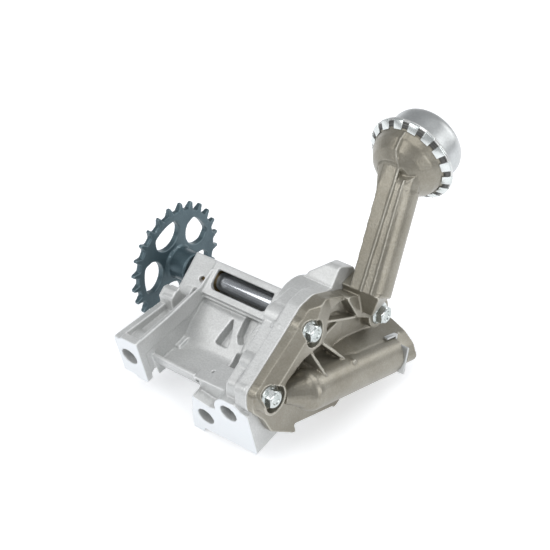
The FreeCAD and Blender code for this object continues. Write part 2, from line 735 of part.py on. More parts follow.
def drilled(start, depth):
    """Blind hole along Y for a mounting bolt, with the cone that the drill leaves."""
    end = start + Y_AXIS * depth
    return rod(start, Y_AXIS, THREAD_R, depth).fuse(Part.makeCone(THREAD_R, 0, DRILL_POINT * THREAD_R, end, Y_AXIS))


def housing_passages():
    """Spaces that the shaft, gears, oil and bolts need in the casting."""
    cuts = [
        gear_pockets(CHAMBER_X, SPLIT_X + 1, POCKET_R),
        port_space(1, CHAMBER_X, SPLIT_X + 1),
        port_space(-1, CHAMBER_X, SPLIT_X + 1),
        rod_x(SHAFT_Y, SHAFT_Z, BUSH_R, HUB_FACE_X - 1, HUB_FACE_X + FRONT_BUSH_LENGTH),
        rod_x(SHAFT_Y, SHAFT_Z, TUNNEL_R, HUB_FACE_X + FRONT_BUSH_LENGTH, rear_bush_start()),
        rod_x(SHAFT_Y, SHAFT_Z, BUSH_R, rear_bush_start() - 1, SPLIT_X),
        rod_x(IDLER_Y, IDLER_Z, IDLER_PIN_R, CHAMBER_FRONT_X + 2, SPLIT_X + 1),
        window_prism(
            SHAFT_WINDOW_START, SHAFT_WINDOW_END, SHAFT_WINDOW_WIDTH, SHAFT_WINDOW_CORNER,
            0, FLAT_DISTANCE + 5,
        ),
        rod(point(0, -1, 0), Y_AXIS, DOWEL_R, FRONT_DOWEL_DEPTH + 1),
        drilled(point(0, 0, 0), FRONT_DOWEL_DEPTH + FRONT_THREAD_DEPTH),
        rod(point(REAR_DOWEL_X, -1, REAR_DOWEL_Z), Y_AXIS, DOWEL_R, REAR_DOWEL_DEPTH + 1),
        drilled(point(REAR_DOWEL_X, 0, REAR_DOWEL_Z), REAR_DOWEL_DEPTH + REAR_THREAD_DEPTH),
        rod(point(OUTLET_X, -1, OUTLET_Z), Y_AXIS, OUTLET_R, OUTLET_DEPTH + 1),
    ]
    outlet_end = point(OUTLET_X, OUTLET_DEPTH - 4, OUTLET_Z)
    reach = pressure_centre()
    reach.x = OUTLET_X
    cuts.append(rod(outlet_end, reach - outlet_end, 4.5, (reach - outlet_end).Length))
    for y, z in (UPPER_BOLT, LOWER_BOLT, SIDE_BOLT):
        cuts.append(rod_x(y, z, BOLT_R, SPLIT_X - BOLT_GRIP - 2, SPLIT_X + 1))
    for y, z in (UPPER_COVER_DOWEL, LOWER_COVER_DOWEL):
        cuts.append(rod_x(y, z, COVER_DOWEL_R, SPLIT_X - COVER_DOWEL_LENGTH / 2, SPLIT_X + 1))
    hole_base = point(4.0, SHAFT_Y, SHAFT_Z) + FLAT_NORMAL * SHAFT_R - FLAT_ACROSS * 5.0
    cuts.append(rod(hole_base, FLAT_NORMAL, OIL_HOLE_R, 2 * HUB_R))
    return cuts


def rear_bush_start():
    """Front end of the rear shaft bush."""
    return CHAMBER_FRONT_X


def pump_housing():
    """Main aluminium casting."""
    blank = join(tunnel_blank(), front_arm(), pump_body(), gear_case(), rear_foot(), upper_lug())
    return blank.cut(housing_passages()).removeSplitter()


# Pickup cover


def relief_point(along, up=0.0, out=0.0):
    """Point in the relief valve's own directions: along its axis, up, and out along +X."""
    return RELIEF_ORIGIN + RELIEF_DIR * along + RELIEF_UP * up + X_AXIS * out


def bolt_tower(y, z, top):
    """Round pad of the cover under a bolt."""
    return rod_x(y, z, BOLT_BOSS_R, SPLIT_X, top)


def cover_spine():
    """Raised band round the two recessed bolts, arching over to the tube, with a sloping outer side."""
    band = plate_x(
        [(3.0, 4.0, 5), (5.0, 15.0, 5), (44.0, 28.3, 14), (60.0, 34.5, 8), (72.0, 33.5, 8), (86, 23, 8),
         (97.5, 11.5, 1), (90, 8, 2), (84, 4, 5), (64, 10, 8), (50, 13, 6), (40, 14.2, 5), (24, 11.5, 4), (14, -4, 6)],
        SPLIT_X, RIM_X,
    )
    raised = join(band, bolt_tower(*UPPER_BOLT, RIM_X), bolt_tower(*LOWER_BOLT, RIM_X))
    recess = rod_x(SHAFT_Y + ARCH_SHIFT, SHAFT_Z + ARCH_SHIFT / 2, ARCH_R, SPLIT_X + PLATE_FLOOR, RIM_X + 1)
    return raised.cut([recess, skirt_space(), arch_space()])


def skirt_space():
    """Room outside the sloping side of the band, between its crest and the joint outline."""
    start = point(SPLIT_X + SKIRT_HEIGHT, 2.0, 13.3)
    end = point(SPLIT_X + SKIRT_HEIGHT, 66.0, 36.6)
    outward = X_AXIS.cross(end - start).normalize()
    rise = COVER_RIM - SKIRT_HEIGHT
    wire = Part.makePolygon([
        start,
        start - outward * CREST_INSET + X_AXIS * rise,
        start - outward * CREST_INSET + X_AXIS * (rise + 2),
        start + outward * 12 + X_AXIS * (rise + 2),
        start + outward * 12,
        start,
    ])
    return Part.Face(wire).extrude(end - start)


def arch_space():
    """Room above the band where it slopes down to the lower arch."""
    low = SPLIT_X + ARCH_HEIGHT
    wire = Part.makePolygon([
        point(RIM_X, ARCH_START_Y, -20),
        point(low, ARCH_END_Y, -20),
        point(low, ARCH_END_Y + 40, -20),
        point(RIM_X + 2, ARCH_END_Y + 40, -20),
        point(RIM_X + 2, ARCH_START_Y, -20),
        point(RIM_X, ARCH_START_Y, -20),
    ])
    return Part.Face(wire).extrude(Z_AXIS * 80)


def tube_direction():
    """Direction of the pickup tube from its foot to the bell."""
    return (point(*TUBE_TOP) - point(*TUBE_BASE)).normalize()


def tube_side():
    """Direction across the pickup tube, square to it and to X."""
    return tube_direction().cross(X_AXIS)


def tube_point(along, across=0.0, front=0.0):
    """Point in the pickup tube's own directions: along its axis, across it, and out of its flat front."""
    sideways = tube_side().cross(tube_direction())
    return point(*TUBE_BASE) + tube_direction() * along + sideways * across - tube_side() * front


def tube_blank():
    """Outside of the pickup tube: a round pipe with a flat front, one square shoulder and two fine ridges."""
    length = (point(*TUBE_TOP) - point(*TUBE_BASE)).Length - TUBE_FOOT
    middle = TUBE_FOOT + length / 2
    across = tube_side().cross(tube_direction())
    pipe = rod(tube_point(TUBE_FOOT), tube_direction(), TUBE_R, length)
    above = slab(
        tube_point(middle, 0, TUBE_FRONT + TUBE_R), tube_direction(), across,
        (length + 2, 4 * TUBE_R, 2 * TUBE_R), tube_side(),
    )
    shoulder = slab(
        tube_point(middle, -TUBE_R / 2, TUBE_FRONT / 2), tube_direction(), across,
        (length, TUBE_R, TUBE_FRONT), tube_side(),
    )
    ridges = []
    for low, high in TUBE_RIDGES:
        start = tube_point(TUBE_FOOT, low, TUBE_FRONT)
        along = tube_point(TUBE_FOOT + length, high, TUBE_FRONT) - start
        run = along.Length
        along.normalize()
        ridges.append(slab(
            start + along * (run / 2), along, tube_side().cross(along),
            (run, TUBE_RIDGE_WIDTH, 2 * TUBE_RIDGE_RISE), tube_side(),
        ))
    return join(pipe.cut(above), shoulder, *ridges)


def bell_bowl(inset):
    """Bowl behind the strainer, or with an inset the space inside it."""
    profile = [(BELL_FLANGE_THICK, 0, 0), (BELL_FLANGE_THICK, BELL_R - inset, 0)]
    for depth, share in BELL_CURVE:
        profile.append((-depth * (BELL_DEPTH - inset) + 1, share * BELL_R - inset, 0))
    profile.append((-(BELL_DEPTH - inset), 0, 0))
    return turned(profile, point(STRAINER_X, STRAINER_Y - BELL_FLANGE_THICK, STRAINER_Z), Y_AXIS)


def bell():
    """Bowl with its flat rim."""
    rim = rod(
        point(STRAINER_X, STRAINER_Y - BELL_FLANGE_THICK, STRAINER_Z), Y_AXIS, BELL_FLANGE_R, BELL_FLANGE_THICK,
    )
    return join(bell_bowl(0.0), rim)


def relief_section(along, corners):
    """Closed outline square to the relief axis, from (out, up, radius) corners."""
    return rounded_wire([(relief_point(along, up, out), radius) for out, up, radius in corners])


def relief_barrel():
    """Cast barrel of the relief valve, with the wide shoulder above it and the collar at its end."""
    barrel = rod(relief_point(RELIEF_BARREL_R / 2), RELIEF_DIR, RELIEF_BARREL_R, CLIP_S - RELIEF_BARREL_R / 2)
    nose = turned(
        [(0, 0, 0), (0, RELIEF_BARREL_R, RELIEF_BARREL_R * 0.72), (RELIEF_BARREL_R, RELIEF_BARREL_R, 0),
         (RELIEF_BARREL_R, 0, 0)],
        relief_point(-RELIEF_BARREL_R / 2), RELIEF_DIR, 4,
    )
    inner = SPLIT_X - RELIEF_X
    shoulder = [(inner, -3, 0), (RELIEF_BARREL_R - 0.2, -3, 2), (RELIEF_BARREL_R - 1.5, 6, 9), (1.5, 13, 9),
                (-9, 17, 6), (inner, 18, 0)]
    fillet = [(inner, -3, 0), (0, -3, 1), (0.5, 6, 2), (-1, RELIEF_BARREL_R - 0.2, 1),
              (-6.5, RELIEF_BARREL_R + 0.9, 3), (inner, 17, 0)]
    body = Part.Face(relief_section(SHOULDER_START, shoulder)).extrude(RELIEF_DIR * (RELIEF_LENGTH - SHOULDER_START))
    web = Part.Face(relief_section(2.0, fillet)).extrude(RELIEF_DIR * (SHOULDER_START - SHOULDER_RISE - 2.0))
    slope = Part.makeLoft(
        [relief_section(SHOULDER_START - SHOULDER_RISE, fillet), relief_section(SHOULDER_START, shoulder)], True, True,
    )
    ear = rod(relief_point(CLIP_S + 3, 0, RELIEF_BARREL_R - 4), RELIEF_DIR, 4.4, RELIEF_LENGTH - CLIP_S - 3)
    keep = slab(
        relief_point(RELIEF_LENGTH / 2, 0, 30 + inner), RELIEF_DIR, RELIEF_UP, (RELIEF_LENGTH + 30, 120, 60), X_AXIS,
    )
    return join(barrel, nose, body, web, slope, ear).common(keep)


def cover_rib(start, end, thick, low, high):
    """Rib on the cover plate between two (y, z) points, tapering from one height to another."""
    first = point(SPLIT_X + 1, *start)
    last = point(SPLIT_X + 1, *end)
    across = X_AXIS.cross(last - first).normalize() * (thick / 2)
    wire = Part.makePolygon([
        first - across,
        last - across,
        last - across + X_AXIS * (high - 1),
        first - across + X_AXIS * (low - 1),
        first - across,
    ])
    return Part.Face(wire).extrude(across * 2)


def cover_ribs():
    """Stiffening ribs that fan out from the upper bolt."""
    return [cover_rib(*rib) for rib in COVER_RIBS]


def tube_block():
    """Foot of the pickup tube: a pad round the side bolt, and the block that the tube stands on."""
    pad = plate_x(
        [(92, 2, 4), (86, 23, 5), (93, 19, 6), (107, 4, 6), (120, -5, 6), (121, -14, 6), (112, -20, 6), (104, -10, 4)],
        SPLIT_X, SPLIT_X + SIDE_BOLT_SEAT,
    )
    front = tube_point(TUBE_FOOT, 0, TUBE_FRONT)
    right = tube_point(TUBE_FOOT).x + TUBE_R - 0.6
    block = plate_y(
        [(SPLIT_X, front.z - FOOT_DROP, 0), (right - FOOT_LEAN, front.z - FOOT_DROP, FOOT_CORNER),
         (right, front.z + 0.2, FOOT_CORNER), (SPLIT_X, front.z + 0.2, 0)],
        front.y, tube_point(TUBE_FOOT, 0, -TUBE_R).y + 1.5,
    )
    return pad.fuse(block)


def pickup_cover():
    """Cover casting with relief barrel, pickup tube and bell in one piece."""
    plate = plate_x(flange_outline(), SPLIT_X, SPLIT_X + PLATE_FLOOR)
    tower = bolt_tower(*SIDE_BOLT, SPLIT_X + SIDE_BOLT_SEAT)
    bearing = rod_x(SHAFT_Y, SHAFT_Z, SHAFT_R + 5, SPLIT_X, SPLIT_X + BEARING_PAD)
    idler_pad = rod_x(IDLER_Y, IDLER_Z, IDLER_PIN_R + 5, SPLIT_X, SPLIT_X + COVER_PLATE)
    solid = join(
        plate, cover_spine(), tube_block(), tower, bearing, idler_pad, relief_barrel(), tube_blank(), bell(),
        *cover_ribs(),
    )
    cuts = [
        rod_x(SHAFT_Y, SHAFT_Z, SHAFT_R + RUNNING_CLEARANCE, SPLIT_X - 1, SPLIT_X + BEARING_DEPTH),
        rod_x(IDLER_Y, IDLER_Z, IDLER_PIN_R, SPLIT_X - 1, SPLIT_X + COVER_PLATE / 2),
        rod(relief_point(RELIEF_HEAD_WALL), RELIEF_DIR, RELIEF_BORE_R, RELIEF_LENGTH),
        bell_bowl(BELL_WALL),
        below_joint(),
    ]
    bore_start = tube_point(TUBE_FOOT + 2)
    cuts.append(rod(bore_start, tube_direction(), TUBE_BORE_R, (point(*TUBE_TOP) - bore_start).Length))
    inlet = tube_point(TUBE_FOOT + 2, 0, -1)
    cuts.append(rod_x(inlet.y, inlet.z, SUCTION_R, SPLIT_X + 1, inlet.x + SUCTION_R / 2))
    suction = port_space(-1, SPLIT_X - 1, SPLIT_X + SIDE_BOLT_SEAT - 3)
    cuts.append(suction)
    for y, z in (UPPER_BOLT, LOWER_BOLT, SIDE_BOLT):
        cuts.append(rod_x(y, z, BOLT_R + BOLT_CLEARANCE, SPLIT_X - 1, RIM_X + 1))
    for y, z in (UPPER_BOLT, LOWER_BOLT):
        cuts.append(rod_x(y, z, BOLT_POCKET_R, SEAT_X, RIM_X + 30))
    cuts.append(rod_x(*SIDE_BOLT, BOLT_POCKET_R, SPLIT_X + SIDE_BOLT_SEAT, RIM_X + 30))
    for y, z in (UPPER_COVER_DOWEL, LOWER_COVER_DOWEL):
        cuts.append(rod_x(y, z, COVER_DOWEL_R, SPLIT_X - 1, SPLIT_X + COVER_DOWEL_LENGTH / 2))
    cuts.append(clip_space())
    return solid.cut(cuts).removeSplitter()


def below_joint():
    """Everything on the casting's side of the joint, below the tube."""
    return Part.makeBox(60, 130, 130, point(SPLIT_X - 60, -5, -90))


# Relief valve


def clip_space():
    """Slot for the retaining plate, with the narrow slot that its leg comes out of."""
    blade = slab(
        relief_point(CLIP_S, 0, 0), RELIEF_DIR, RELIEF_UP,
        (CLIP_THICK + 2 * CLIP_CLEARANCE, 2 * RELIEF_BORE_R + 2, 4 * RELIEF_BARREL_R), X_AXIS,
    )
    leg = slab(
        relief_point(CLIP_S, CLIP_LEG_TOP / 2 + 1, CLIP_LEG_OUT), RELIEF_DIR, RELIEF_UP,
        (CLIP_THICK + 2 * CLIP_CLEARANCE, CLIP_LEG_TOP + 2, CLIP_LEG_WIDTH + 2 * CLIP_CLEARANCE), X_AXIS,
    )
    return blade.fuse(leg)


def relief_piston():
    """Cup piston that closes the relief port."""
    start = RELIEF_HEAD_WALL + PISTON_STOP_GAP
    radius = RELIEF_BORE_R - RUNNING_CLEARANCE
    inner = radius - PISTON_WALL
    return turned(
        [(0, 0, 0), (0, radius, 0.8), (PISTON_LENGTH, radius, 0.3), (PISTON_LENGTH, inner, 0), (4, inner, 1.0), (4, 0, 0)],
        relief_point(start), RELIEF_DIR,
    )


def spring_range():
    """Where the spring starts and ends along the relief axis."""
    start = RELIEF_HEAD_WALL + PISTON_STOP_GAP + 4.0
    end = CLIP_S - CLIP_THICK / 2 - SEAT_THICK
    return start, end


def relief_spring():
    """Coil spring between piston and seat, as straight links between six-sided sections."""
    start, end = spring_range()
    coil_r = RELIEF_BORE_R - PISTON_WALL - SPRING_WIRE_R - 0.6
    rise = (end - start - 2 * SPRING_WIRE_R) / (SPRING_TURNS * SPRING_LINKS)
    rings = []
    for step in range(SPRING_TURNS * SPRING_LINKS + 1):
        turn = 2 * math.pi * step / SPRING_LINKS
        ring = []
        for side in range(6):
            lean = math.pi * side / 3
            radius = coil_r + SPRING_WIRE_R * math.cos(lean)
            level = step * rise + SPRING_WIRE_R * math.sin(lean)
            ring.append(point(radius * math.cos(turn), radius * math.sin(turn), level))
        rings.append(ring)
    faces = [Part.Face(Part.makePolygon(ring + ring[:1])) for ring in (rings[0], rings[-1])]
    for low, high in zip(rings, rings[1:]):
        for side in range(6):
            after = (side + 1) % 6
            faces.append(Part.Face(Part.makePolygon([low[side], low[after], high[after], low[side]])))
            faces.append(Part.Face(Part.makePolygon([low[side], high[after], high[side], low[side]])))
    spring = Part.Solid(Part.Shell(faces))
    if spring.Volume < 0:
        spring.reverse()
    spring.Placement = FreeCAD.Placement(
        relief_point(start + SPRING_WIRE_R), FreeCAD.Rotation(Z_AXIS, RELIEF_DIR),
    )
    return spring


def spring_seat():
    """Disc that the spring pushes against the retaining plate."""
    start = spring_range()[1]
    radius = RELIEF_BORE_R - 0.05
    return turned(
        [(0, 0, 0), (0, radius, 0.5), (SEAT_THICK, radius, 0.5), (SEAT_THICK, 0, 0)],
        relief_point(start), RELIEF_DIR,
    )


def retaining_plate():
    """Steel plate through the slot of the barrel, with its bent end."""
    width = 2 * RELIEF_BORE_R + 1.6
    reach = RELIEF_BARREL_R + CLIP_OVERHANG
    low = -(RELIEF_X - SPLIT_X) + 3
    blade = slab(
        relief_point(CLIP_S, 0, (reach + low) / 2), RELIEF_DIR, RELIEF_UP, (CLIP_THICK, width, reach - low), X_AXIS,
    )
    leg = slab(
        relief_point(CLIP_S, CLIP_LEG_TOP / 2, CLIP_LEG_OUT), RELIEF_DIR, RELIEF_UP,
        (CLIP_THICK, CLIP_LEG_TOP, CLIP_LEG_WIDTH), X_AXIS,
    )
    run = slab(
        relief_point(CLIP_S + CLIP_THICK / 2 - CLIP_LEG_RUN / 2, CLIP_LEG_TOP - CLIP_LEG_THICK / 2, CLIP_LEG_OUT),
        RELIEF_DIR, RELIEF_UP, (CLIP_LEG_RUN, CLIP_LEG_THICK, CLIP_LEG_WIDTH), X_AXIS,
    )
    return join(blade, leg, run)


# Strainer


def strainer_profile():
    """Section of the steel cap as (along, radius, rounding) corners."""
    wall = CAP_WALL
    return [
        (0, BELL_FLANGE_R, 0),
        (-BELL_FLANGE_THICK, BELL_FLANGE_R, 0),
        (-BELL_FLANGE_THICK, CAP_RIM_R, 0),
        (wall, CAP_RIM_R, 0),
        (wall, CAP_R, 0),
        (CAP_DEPTH, CAP_R - 0.8, CAP_CORNER_R),
        (CAP_DEPTH, 0, 0),
        (CAP_DEPTH - wall, 0, 0),
        (CAP_DEPTH - wall, CAP_R - 0.8 - CAP_CORNER_R, 0),
        (CAP_DEPTH - CAP_CORNER_R, CAP_R - 0.8 - wall, 0),
        (0, CAP_R - wall, 0),
    ]


def strainer_cap():
    """Pressed steel cap, crimped over the rim of the bell by a ring of tabs."""
    centre = point(STRAINER_X, STRAINER_Y, STRAINER_Z)
    cap = turned(strainer_profile(), centre, Y_AXIS, 3)
    tab_y = STRAINER_Y - BELL_FLANGE_THICK - TAB_THICK
    ring = rod(point(STRAINER_X, tab_y, STRAINER_Z), Y_AXIS, CAP_RIM_R - 0.4, TAB_THICK)
    ring = ring.cut(rod(point(STRAINER_X, tab_y - 1, STRAINER_Z), Y_AXIS, TAB_INNER_R, TAB_THICK + 2))
    gaps = []
    pitch = 2 * math.pi / TAB_COUNT
    reach = 2 * CAP_RIM_R
    half_gap = pitch / 2 - math.radians(TAB_HALF_DEG)
    for index in range(TAB_COUNT):
        angle = pitch * index
        apex = point(STRAINER_X, tab_y, STRAINER_Z)
        first = point(math.cos(angle - half_gap), 0, math.sin(angle - half_gap)) * reach
        last = point(math.cos(angle + half_gap), 0, math.sin(angle + half_gap)) * reach
        wedge = Part.Face(Part.makePolygon([apex, apex + first, apex + last, apex]))
        gaps.append(wedge.extrude(Y_AXIS * TAB_THICK))
    ring = ring.cut(gaps)
    inlet = slab(
        point(STRAINER_X, STRAINER_Y + CAP_DEPTH, STRAINER_Z), X_AXIS, Z_AXIS,
        (INLET_LENGTH, INLET_WIDTH, 4 * CAP_WALL), Y_AXIS,
    )
    return cap.fuse(ring).cut(inlet)


def strainer_gauze():
    """Fine screen across the bell, held between its rim and the cap."""
    centre = point(STRAINER_X, STRAINER_Y, STRAINER_Z)
    return rod(centre, Y_AXIS, CAP_R - CAP_WALL - 0.3, GAUZE_THICK)


# Fasteners


def cover_bolt(y, z, seat):
    """Flanged hexagon bolt through the cover."""
    shank = rod_x(y, z, BOLT_R - 0.02, SPLIT_X - BOLT_GRIP, seat)
    flange = turned(
        [(0, 0, 0), (0, BOLT_FLANGE_R, 0), (BOLT_FLANGE_THICK, BOLT_FLANGE_R - 1.6, 0), (BOLT_FLANGE_THICK, 0, 0)],
        point(seat, y, z), X_AXIS,
    )
    corner_r = BOLT_HEAD_R / math.cos(math.pi / 6)
    corners = [polar(y, z, corner_r, math.pi / 3 * index + 0.3, seat + 0.6) for index in range(6)]
    head = Part.Face(Part.makePolygon(corners + corners[:1])).extrude(X_AXIS * (BOLT_HEAD_HEIGHT - 0.6))
    crown = turned(
        [(0, 0, 0), (0, corner_r + 1, 0), (BOLT_HEAD_HEIGHT - 1.4, corner_r + 1, 0),
         (BOLT_HEAD_HEIGHT, BOLT_HEAD_R - 0.4, 0), (BOLT_HEAD_HEIGHT, 0, 0)],
        point(seat, y, z), X_AXIS,
    )
    return join(shank, flange, head.common(crown))


def cover_dowels():
    """Two hollow dowels that line up the cover."""
    start = SPLIT_X - COVER_DOWEL_LENGTH / 2
    sleeves = []
    for y, z in (UPPER_COVER_DOWEL, LOWER_COVER_DOWEL):
        sleeves.append(ring_x(y, z, COVER_DOWEL_R, COVER_DOWEL_R - 1.2, start, start + COVER_DOWEL_LENGTH))
    return Part.makeCompound(sleeves)


def main():
    """Build every node."""
    os.makedirs("parts", exist_ok=True)
    export(pump_housing(), "pump_housing")
    export(shaft_bush(HUB_FACE_X, FRONT_BUSH_LENGTH), "front_bush")
    export(shaft_bush(rear_bush_start(), CHAMBER_X - rear_bush_start()), "rear_bush")
    export(drive_shaft(), "drive_shaft")
    export(drive_sprocket(), "drive_sprocket")
    export(drive_gear(), "drive_gear")
    export(gear_key(), "gear_key")
    export(idler_gear(), "idler_gear")
    export(idler_bush(), "idler_bush")
    export(idler_spindle(), "idler_spindle")
    export(pickup_cover(), "pickup_cover")
    export(cover_dowels(), "cover_dowels")
    export(relief_piston(), "relief_piston")
    export(relief_spring(), "relief_spring")
    export(spring_seat(), "spring_seat")
    export(retaining_plate(), "retaining_plate")
    export(strainer_cap(), "strainer_cap")
    export(strainer_gauze(), "strainer_gauze")
    export(cover_bolt(*UPPER_BOLT, SEAT_X), "cover_bolt_upper")
    export(cover_bolt(*LOWER_BOLT, SEAT_X), "cover_bolt_lower")
    export(cover_bolt(*SIDE_BOLT, SPLIT_X + SIDE_BOLT_SEAT), "cover_bolt_side")


main()
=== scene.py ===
"""Looks of a chain-driven engine oil pump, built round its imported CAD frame.

Metres throughout, in the frame of the CAD model: the origin is the mouth of the front dowel
bore, +X runs along the pump shaft from the sprocket to the cover, +Y away from the engine
towards the strainer, and +Z up.
"""

from __future__ import annotations

import json
import logging
import math
from collections.abc import Callable
from dataclasses import dataclass, field
from enum import Enum

import bpy
from bpy.types import Material, MeshPolygon, NodeSocket, Object
from mathutils import Matrix, Vector

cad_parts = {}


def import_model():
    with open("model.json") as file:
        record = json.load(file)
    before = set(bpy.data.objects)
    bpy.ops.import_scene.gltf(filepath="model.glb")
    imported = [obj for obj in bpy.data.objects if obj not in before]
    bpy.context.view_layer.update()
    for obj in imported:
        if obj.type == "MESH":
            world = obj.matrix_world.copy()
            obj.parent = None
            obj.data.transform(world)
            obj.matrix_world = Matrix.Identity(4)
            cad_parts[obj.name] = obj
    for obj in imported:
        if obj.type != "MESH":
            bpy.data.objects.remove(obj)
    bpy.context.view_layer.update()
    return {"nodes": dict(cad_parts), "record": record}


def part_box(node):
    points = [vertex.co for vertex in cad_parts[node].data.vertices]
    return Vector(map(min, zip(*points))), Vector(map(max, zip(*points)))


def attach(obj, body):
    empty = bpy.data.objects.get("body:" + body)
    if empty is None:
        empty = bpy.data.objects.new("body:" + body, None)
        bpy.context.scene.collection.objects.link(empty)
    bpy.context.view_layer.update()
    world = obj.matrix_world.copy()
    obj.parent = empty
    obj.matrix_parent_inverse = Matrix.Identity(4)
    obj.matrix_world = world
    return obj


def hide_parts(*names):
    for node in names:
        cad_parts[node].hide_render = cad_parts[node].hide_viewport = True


LOG = logging.getLogger("oil_pump")
MM = 0.001
Colour = tuple[float, float, float]
Point = tuple[float, float, float]
Flat = tuple[float, float]
LOBE_TRIM = [(29.6, -35.5), (64.0, -54.3), (64.0, -64), (29.6, -64)]


def linear(colour: Colour) -> tuple[float, float, float, float]:
    """Turn a screen colour into scene-linear values.

    Args:
        colour: Red, green and blue, 0 to 255.

    Returns:
        Linear red, green and blue, and an alpha of one.
    """
    values = []
    for channel in colour:
        share = channel / 255
        values.append(share / 12.92 if share <= 0.04045 else ((share + 0.055) / 1.055) ** 2.4)
    return (values[0], values[1], values[2], 1.0)


class Grain(Enum):
    """Kinds of fine surface relief."""

    SAND_CAST = "sand_cast"
    TURNED = "turned"
    PRESSED = "pressed"
    PLATED = "plated"


@dataclass(frozen=True)
class Patch:
    """Zone of another colour, between two heights along Y and outside a radius.

    Attributes:
        colour: Its colour, 0 to 255.
        low: Lower Y in metres.
        high: Upper Y in metres.
        centre: Point that the radius is measured from, seen along Y.
        radius: Inner radius in metres.
        soft: Width of its soft edges in metres.
    """

    colour: Colour
    low: float
    high: float
    centre: Point = (0.0, 0.0, 0.0)
    radius: float = -1.0
    soft: float = 0.0003


class NodeBoard:
    """Node tree of a material or of the world, with short steps to fill it.

    Attributes:
        colour_a: Place of a mix node's first colour among its inputs.
        colour_b: Place of its second colour.
        colour_out: Place of the mixed colour among its outputs.
    """

    colour_a = 6
    colour_b = 7
    colour_out = 2

    def __init__(self, owner: Material | bpy.types.World) -> None:
        """Clear a node tree and take it.

        Args:
            owner: Material or world that holds the tree.
        """
        owner.use_nodes = True
        self.tree = owner.node_tree
        self.tree.nodes.clear()

    def add(self, kind: str, inputs: dict[str | int, object], **settings: object) -> bpy.types.Node:
        """Add a node, set it and fill its inputs.

        Args:
            kind: Type of the node, without ShaderNode.
            inputs: Value or socket for each input that is filled.
            settings: Settings of the node.

        Returns:
            The node.
        """
        node = self.tree.nodes.new("ShaderNode" + kind)
        for name, value in settings.items():
            setattr(node, name, value)
        for name, value in inputs.items():
            if isinstance(value, NodeSocket):
                self.tree.links.new(value, node.inputs[name])
            else:
                node.inputs[name].default_value = value
        return node

    def noise(self, place: NodeSocket, scale: float, detail: float, rough: float) -> NodeSocket:
        """Noise field with its features per metre, octaves and share of each finer octave."""
        inputs = {"Scale": scale, "Detail": detail, "Roughness": rough, "Vector": place}
        return self.add("TexNoise", inputs).outputs["Fac"]

    def ramp(self, value: NodeSocket, low: float, high: float, end: float = 1.0) -> NodeSocket:
        """Share that goes from zero at the low value to the end at the high one, clamped."""
        inputs = {"From Min": low, "From Max": high, "To Min": 0.0, "To Max": end, "Value": value}
        return self.add("MapRange", inputs).outputs["Result"]

    def mix(self, share: NodeSocket, first: object, second: object) -> NodeSocket:
        """Mixed colour of two, each a value or a socket, with the second's share."""
        inputs = {"Factor": share, self.colour_a: first, self.colour_b: second}
        return self.add("Mix", inputs, data_type="RGBA").outputs[self.colour_out]

    def product(self, first: NodeSocket, second: NodeSocket) -> NodeSocket:
        """Product of two values."""
        return self.add("Math", {0: first, 1: second}, operation="MULTIPLY").outputs[0]

    def either(self, first: NodeSocket, second: NodeSocket) -> NodeSocket:
        """Sum of two values, at most one."""
        return self.add("Math", {0: first, 1: second}, operation="ADD", use_clamp=True).outputs[0]


